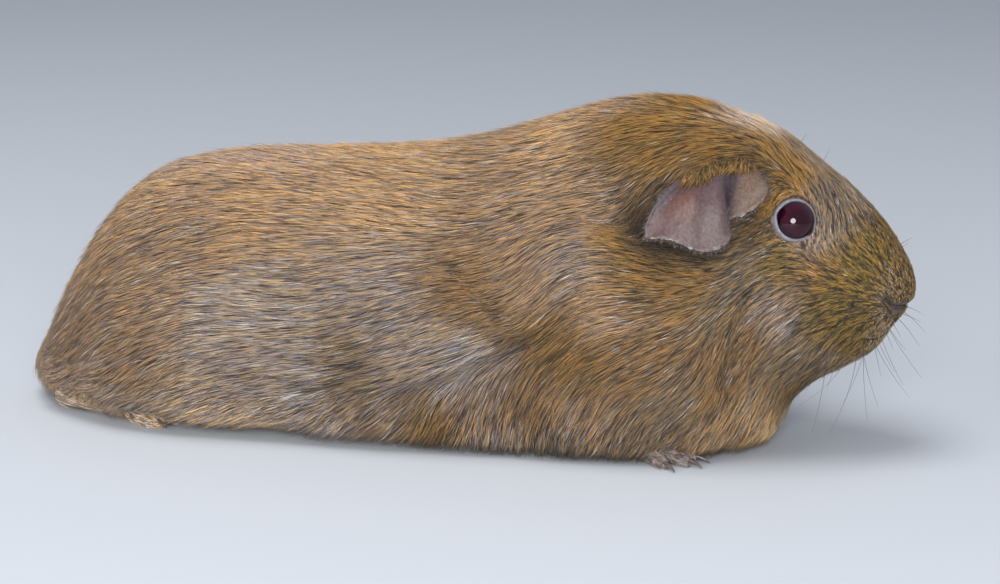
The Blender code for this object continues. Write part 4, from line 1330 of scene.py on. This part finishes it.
def add_eye(side, material):
    """A ball with a slight bulge in front, coloured in rings round its axis."""
    centre, radius, axis = eye_ball(side)
    across = unit(np.cross(axis, [[0, 0, 1.0]]))[0]
    upward = np.cross(across, axis)
    short, long = EYE_WAVES
    points, colours = [], []
    for down in np.linspace(EYE_POLE, 180 - EYE_POLE, EYE_ROWS):
        reach = radius + CORNEA_BULGE * math.exp(-((down / CORNEA_REACH) ** 2))
        colour = between(math.sin(math.radians(min(down, 90))), EYE_RINGS)
        angle = math.radians(down)
        for turn in np.linspace(0, 2 * math.pi, EYE_COLUMNS, endpoint=False):
            fleck = 1 + EYE_FLECKS * math.sin(short * turn) * math.sin(long * turn + 2)
            sideways = across * math.cos(turn) + upward * math.sin(turn)
            points.append(centre + reach * (axis * math.cos(angle) + sideways * math.sin(angle)))
            colours.append(fleck * colour)
    faces = []
    for a, b, c, d in grid(EYE_ROWS, EYE_COLUMNS, around=True):
        faces += [(a, d, c), (a, c, b)]
    for row, pole in ((0, axis), (EYE_ROWS - 1, -axis)):
        points.append(centre + pole * (radius + (CORNEA_BULGE if row == 0 else 0)))
        colours.append(EYE_RINGS[0][1])
        for k in range(EYE_COLUMNS):
            ends = (row * EYE_COLUMNS + k, row * EYE_COLUMNS + (k + 1) % EYE_COLUMNS)
            faces.append((len(points) - 1, *(ends if row == 0 else ends[::-1])))
    mesh = mesh_of(f"ball_{side}", points, faces)
    set_values(mesh, "marking_and_painted_shade", np.array(colours))
    ball = add_piece(f"ball_{side}", mesh, [material])
    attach(ball, "root")
    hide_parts(f"eye_{side}")


def add_claws(material):
    """Every claw, rounded off from its own solid."""
    nodes = sorted(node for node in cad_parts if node.startswith("claw_"))
    joined = bmesh.new()
    for node in nodes:
        joined.from_mesh(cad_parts[node].data)
    bmesh.ops.remove_doubles(joined, verts=joined.verts, dist=SEAM * MM)
    claws = add_piece("claws", finished(joined, "claws"), [material])
    rounded = claws.modifiers.new("rounded", "SUBSURF")
    rounded.levels = rounded.render_levels = 2
    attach(claws, "root")
    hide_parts(*nodes)


class Whisker(NamedTuple):
    """A stiff hair: where it grows, the way it starts out, how it bends, and its length."""

    at: tuple
    way: tuple
    bend: tuple
    length: float


WHISKERS = [
    Whisker((119.9, 17.1, 38.4), (0.00, 0.45, -0.88), (-0.55, -0.10, 0.02), 27),
    Whisker((120.8, 13.5, 34.0), (0.05, 0.40, -0.90), (-0.30, 0.00, -0.05), 27),
    Whisker((112.9, 18.6, 34.0), (-0.05, 0.40, -0.92), (-0.12, 0.00, -0.10), 27),
    Whisker((122.6, 14.5, 37.0), (0.10, 0.40, -0.90), (0.12, 0.00, -0.10), 24),
    Whisker((123.6, 15.0, 40.0), (0.30, 0.45, -0.80), (0.25, 0.00, -0.05), 24),
    Whisker((124.6, 13.0, 38.2), (0.28, 0.40, -0.85), (0.10, 0.00, -0.05), 14),
    Whisker((121.6, 13.0, 35.6), (0.20, 0.40, -0.88), (0.15, 0.00, -0.05), 17),
    Whisker((131.2, 5.5, 41.0), (0.70, 0.25, -0.50), (0.05, 0.00, -0.30), 10),
    Whisker((131.6, 5.0, 42.2), (0.90, 0.25, -0.12), (0.00, 0.00, -0.20), 7),
    Whisker((128.0, 8.2, 38.0), (0.45, 0.30, -0.75), (0.00, 0.00, -0.10), 7),
    Whisker((117.0, 19.8, 44.5), (-0.25, 0.75, -0.55), (-0.40, -0.20, -0.10), 24),
    Whisker((119.0, 18.6, 42.0), (-0.05, 0.70, -0.70), (-0.35, -0.20, -0.05), 22),
    Whisker((104.0, 15.0, 80.0), (0.55, 0.30, 0.78), (-0.10, 0.00, 0.10), 8),
    Whisker((99.0, 10.0, 88.5), (0.60, 0.10, 0.80), (-0.10, 0.00, 0.15), 4.5),
    Whisker((131.0, 5.0, 62.0), (0.80, 0.25, 0.45), (0.00, 0.00, 0.10), 5),
]
WHISKER_ROOT, WHISKER_TIP = 0.085, 0.025
WHISKER_STEPS, WHISKER_SIDES = 14, 5
WHISKER_SUNK, WHISKER_LOWEST = 0.6, 0.4
WHISKER_STRAYING, WHISKER_LENGTHS = 0.05, (0.9, 1.05)  # the spread of ways and of lengths


def whisker_points(start, way, bend, length):
    """Its corners, in rings from the root to the tip."""
    across = unit(np.cross(way, [[0.3, 0.9, 0.3]]))[0]
    second = np.cross(way, across)
    points = []
    for step in range(WHISKER_STEPS):
        share = step / (WHISKER_STEPS - 1)
        middle = start + length * (way * share + bend * share**2)
        middle[2] = max(middle[2], WHISKER_LOWEST)
        radius = WHISKER_ROOT + (WHISKER_TIP - WHISKER_ROOT) * share
        for k in range(WHISKER_SIDES):
            turn = 2 * math.pi * k / WHISKER_SIDES
            sideways = across * math.cos(turn) + second * math.sin(turn)
            points.append(middle + radius * sideways)
    return points


def whisker_faces():
    """Its triangles between the rings, and over both ends."""
    faces = []
    for a, b, c, d in grid(WHISKER_STEPS, WHISKER_SIDES, around=True):
        faces += [(a, b, c), (a, c, d)]
    tip = (WHISKER_STEPS - 1) * WHISKER_SIDES
    faces += [(k + 1, k, 0) for k in range(1, WHISKER_SIDES - 1)]
    faces += [(tip, tip + k, tip + k + 1) for k in range(1, WHISKER_SIDES - 1)]
    return np.array(faces)


def add_whiskers(skin_tree, material):
    """Every whisker, on both sides, grown from the nearest place on the skin."""
    points, faces = [], []
    for side in SIDES.values():
        mirror = np.array([1, side, 1])
        for whisker in WHISKERS:
            start, out, _, _ = skin_tree.find_nearest(Vector(np.array(whisker.at) * mirror))
            start = np.array(start) - np.array(out) * WHISKER_SUNK
            way = unit(np.array([whisker.way]))[0] * mirror
            way += WHISKER_STRAYING * rng.standard_normal(3)
            bend = np.array(whisker.bend) * mirror + WHISKER_STRAYING * rng.standard_normal(3)
            length = whisker.length * rng.uniform(*WHISKER_LENGTHS)
            faces.append(whisker_faces() + len(points))
            points += whisker_points(start, way, bend, length)
    mesh = mesh_of("whiskers", points, np.concatenate(faces))
    whiskers = add_piece("whiskers", mesh, [material])
    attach(whiskers, "root")


# ---------- materials


def new_material(name, values):
    """A material whose shader has these values in its sockets."""
    material = bpy.data.materials.new(name)
    material.use_nodes = True
    shader = material.node_tree.nodes["Principled BSDF"]
    for socket, value in values.items():
        shader.inputs[socket].default_value = value
    return material


def add_node(material, kind, links=(), **settings):
    """A node with these settings; links says which output or value each of its inputs takes."""
    node = material.node_tree.nodes.new(kind)
    for name, value in settings.items():
        setattr(node, name, value)
    for socket, source in dict(links).items():
        if hasattr(source, "is_output"):
            material.node_tree.links.new(source, node.inputs[socket])
        else:
            node.inputs[socket].default_value = source
    return node


def shade(material, socket, source):
    """Feeds a socket of the material's shader."""
    material.node_tree.links.new(source, material.node_tree.nodes["Principled BSDF"].inputs[socket])


def read(material, name):
    return add_node(material, "ShaderNodeAttribute", attribute_name=name)


def marking_and_painted_shade(material):
    return read(material, "marking_and_painted_shade").outputs["Color"]


def ramp(material, source, stops):
    """A run of colours over a value, as (place, colour)."""
    node = add_node(material, "ShaderNodeValToRGB", {"Fac": source})
    elements = node.color_ramp.elements
    while len(elements) < len(stops):
        elements.new(0.5)
    for element, (place, colour) in zip(elements, stops):
        element.position = place
        element.color = (*colour, 1)
    return node.outputs["Color"]


def product(material, first, second):
    node = add_node(material, "ShaderNodeMix", data_type="RGBA", blend_type="MULTIPLY")
    node.inputs["Factor"].default_value = 1
    inputs = [socket for socket in node.inputs if socket.type == "RGBA"]
    material.node_tree.links.new(first, inputs[0])
    material.node_tree.links.new(second, inputs[1])
    return next(socket for socket in node.outputs if socket.type == "RGBA")


def noise_of(material, size):
    """Noise that changes over about this many mm."""
    place = add_node(material, "ShaderNodeTexCoord").outputs["Object"]
    links = {"Vector": place, "Scale": 1 / (size * MM), "Detail": 3.0}
    return add_node(material, "ShaderNodeTexNoise", links).outputs["Fac"]


def bump(material, height, depth):
    """Roughens the surface by a height of this many mm."""
    links = {"Height": height, "Distance": depth * MM, "Strength": 1.0}
    node = add_node(material, "ShaderNodeBump", links)
    shade(material, "Normal", node.outputs["Normal"])


HAIR_ALONG = [  # share of the way from a hair's root to its tip, and colour beside its own; darker towards the root for the hair's grey base and for painted shade deep in the coat
    (0.0, (0.30, 0.31, 0.34)),
    (0.35, (0.62, 0.64, 0.69)),
    (0.65, (1.12, 1.09, 1.03)),
    (1.0, (1.35, 1.26, 1.10)),
]


def hair_material():
    values = {"Roughness": 0.5, "Specular IOR Level": 0.4, "Sheen Weight": 0.06}
    material = new_material("hair", values)
    along = ramp(material, read(material, "along").outputs["Fac"], HAIR_ALONG)
    shade(material, "Base Color", product(material, marking_and_painted_shade(material), along))
    return material


MOTTLE_FROM, MOTTLE_TO = 0.35, 0.65  # heights of the noise with the darkest and palest shade
FLESH = {
    "Subsurface Weight": 0.12,
    "Subsurface Scale": 0.6 * MM,
    "Subsurface Radius": (1.0, 0.45, 0.3),
}
SKINS = [  # name, values, darkest and palest shade of its mottle, and the mottle's size and depth
    ("undercoat", {"Roughness": 0.7}, (0.5, 0.5, 0.5), (1.4, 1.3, 1.2), 1.2, 0.3),
    ("ear skin", {"Roughness": 0.55, **FLESH}, (0.72, 0.72, 0.75), (1.22, 1.19, 1.18), 0.8, 0.12),
    ("lid skin", {"Roughness": 0.42, **FLESH}, (0.8, 0.8, 0.8), (1.15, 1.15, 1.15), 0.6, 0.04),
    ("foot skin", {"Roughness": 0.5, **FLESH}, (0.75, 0.75, 0.75), (1.2, 1.2, 1.2), 0.8, 0.08),
]


def skin_material(name, values, darkest, palest, size, depth):
    """Flesh in the colours stored on its vertices, painted shade included, mottled by noise of this
    size in mm and roughened by it.
    """
    material = new_material(name, values)
    mottle = noise_of(material, size)
    shades = ramp(material, mottle, [(MOTTLE_FROM, darkest), (MOTTLE_TO, palest)])
    shade(material, "Base Color", product(material, marking_and_painted_shade(material), shades))
    bump(material, mottle, depth)
    return material


def eye_material():
    wet = {"Coat Weight": 1.0, "Coat Roughness": 0.02, "Coat IOR": 1.42}
    material = new_material("eye", {"Roughness": 0.4, "Specular IOR Level": 0.0, **wet})
    shade(material, "Base Color", marking_and_painted_shade(material))
    return material


CLAW_STREAK_SIZE, CLAW_RELIEF = 0.9, 0.04
CLAW_TONES = [(0.3, (0.045, 0.033, 0.030)), (0.7, (0.12, 0.085, 0.075))]


def claw_material():
    material = new_material("claw", {"Roughness": 0.38, "Coat Weight": 0.2, "Coat Roughness": 0.2})
    streak = noise_of(material, CLAW_STREAK_SIZE)
    shade(material, "Base Color", ramp(material, streak, CLAW_TONES))
    bump(material, streak, CLAW_RELIEF)
    return material


def make_materials():
    whisker = {"Base Color": (0.030, 0.020, 0.018, 1), "Roughness": 0.35}
    return {
        "hair": hair_material(),
        "skin": [skin_material(*row) for row in SKINS],
        "eye": eye_material(),
        "claw": claw_material(),
        "whisker": new_material("whisker", whisker),
    }


# ---------- the animal

materials = make_materials()
body, creases, ears, feet = build_skin(materials["skin"])
add_coat(body, creases, ears, feet, materials["hair"])
for side in SIDES:
    add_eye(side, materials["eye"])
add_claws(materials["claw"])
add_whiskers(tree_of([body]), materials["whisker"])


# ---------- floor, light, camera


MIDDLE = (0.0, 0.0, 0.05)
LIGHTS = [  # name, place, width, power in watts, and whether it shows as a highlight
    ("softbox overhead", (-0.20, -0.25, 1.3), 0.8, 12.5, False),
    ("softbox at the left", (-0.75, -1.0, 0.65), 0.7, 5, False),
    ("softbox behind the camera", (0.28, -1.15, 0.37), 0.58, 17, True),
]


def add_light(name, at, size, power, glossy):
    """A round soft light that faces the middle of the animal."""
    data = bpy.data.lights.new(name, "AREA")
    data.shape, data.size, data.energy = "DISK", size, power
    light = bpy.data.objects.new(name, data)
    light.location = at
    light.rotation_euler = (Vector(MIDDLE) - Vector(at)).to_track_quat("-Z", "Y").to_euler()
    light.visible_glossy = glossy
    bpy.context.scene.collection.objects.link(light)


FLOOR_REACH, FLOOR_COLOUR = 8.0, (0.46, 0.48, 0.51, 1)
SKY_COLOUR, SKY_STRENGTH = (0.80, 0.87, 1.0, 1), 0.48
floor_mesh = bpy.data.meshes.new("floor")
ends = ((-1, -1), (1, -1), (1, 1), (-1, 1))
corners = [(x * FLOOR_REACH, y * FLOOR_REACH, 0) for x, y in ends]
floor_mesh.from_pydata(corners, [], [(0, 1, 2, 3)])
floor = bpy.data.objects.new("floor", floor_mesh)
bpy.context.scene.collection.objects.link(floor)
floor_mesh.materials.append(new_material("floor", {"Base Color": FLOOR_COLOUR, "Roughness": 0.8}))

world = bpy.data.worlds.new("world")
world.use_nodes = True
background = world.node_tree.nodes["Background"]
background.inputs["Color"].default_value = SKY_COLOUR
background.inputs["Strength"].default_value = SKY_STRENGTH
bpy.context.scene.world = world

for row in LIGHTS:
    add_light(*row)

CAMERA_AZIMUTH, CAMERA_HEIGHT, CAMERA_DISTANCE = 14, 12, 0.85  # round the middle, in degrees
CAMERA_AIM, CAMERA_ROLL, CAMERA_LENS = (0.0120, 0.0, 0.0403), 0.7, 102.5
azimuth, height = math.radians(CAMERA_AZIMUTH), math.radians(CAMERA_HEIGHT)
level = math.cos(height)
back = Vector((math.sin(azimuth) * level, -math.cos(azimuth) * level, math.sin(height)))
camera = bpy.data.objects.new("camera", bpy.data.cameras.new("camera"))
bpy.context.scene.collection.objects.link(camera)
camera.location = Vector(MIDDLE) + back * CAMERA_DISTANCE
aim = (Vector(CAMERA_AIM) - camera.location).to_track_quat("-Z", "Y")
camera.rotation_euler = (aim @ Quaternion((0, 0, 1), math.radians(CAMERA_ROLL))).to_euler()
camera.data.lens = CAMERA_LENS
camera.data.clip_start, camera.data.clip_end = 0.01, 40
bpy.context.scene.camera = camera
bpy.context.scene.view_settings.view_transform = "Standard"
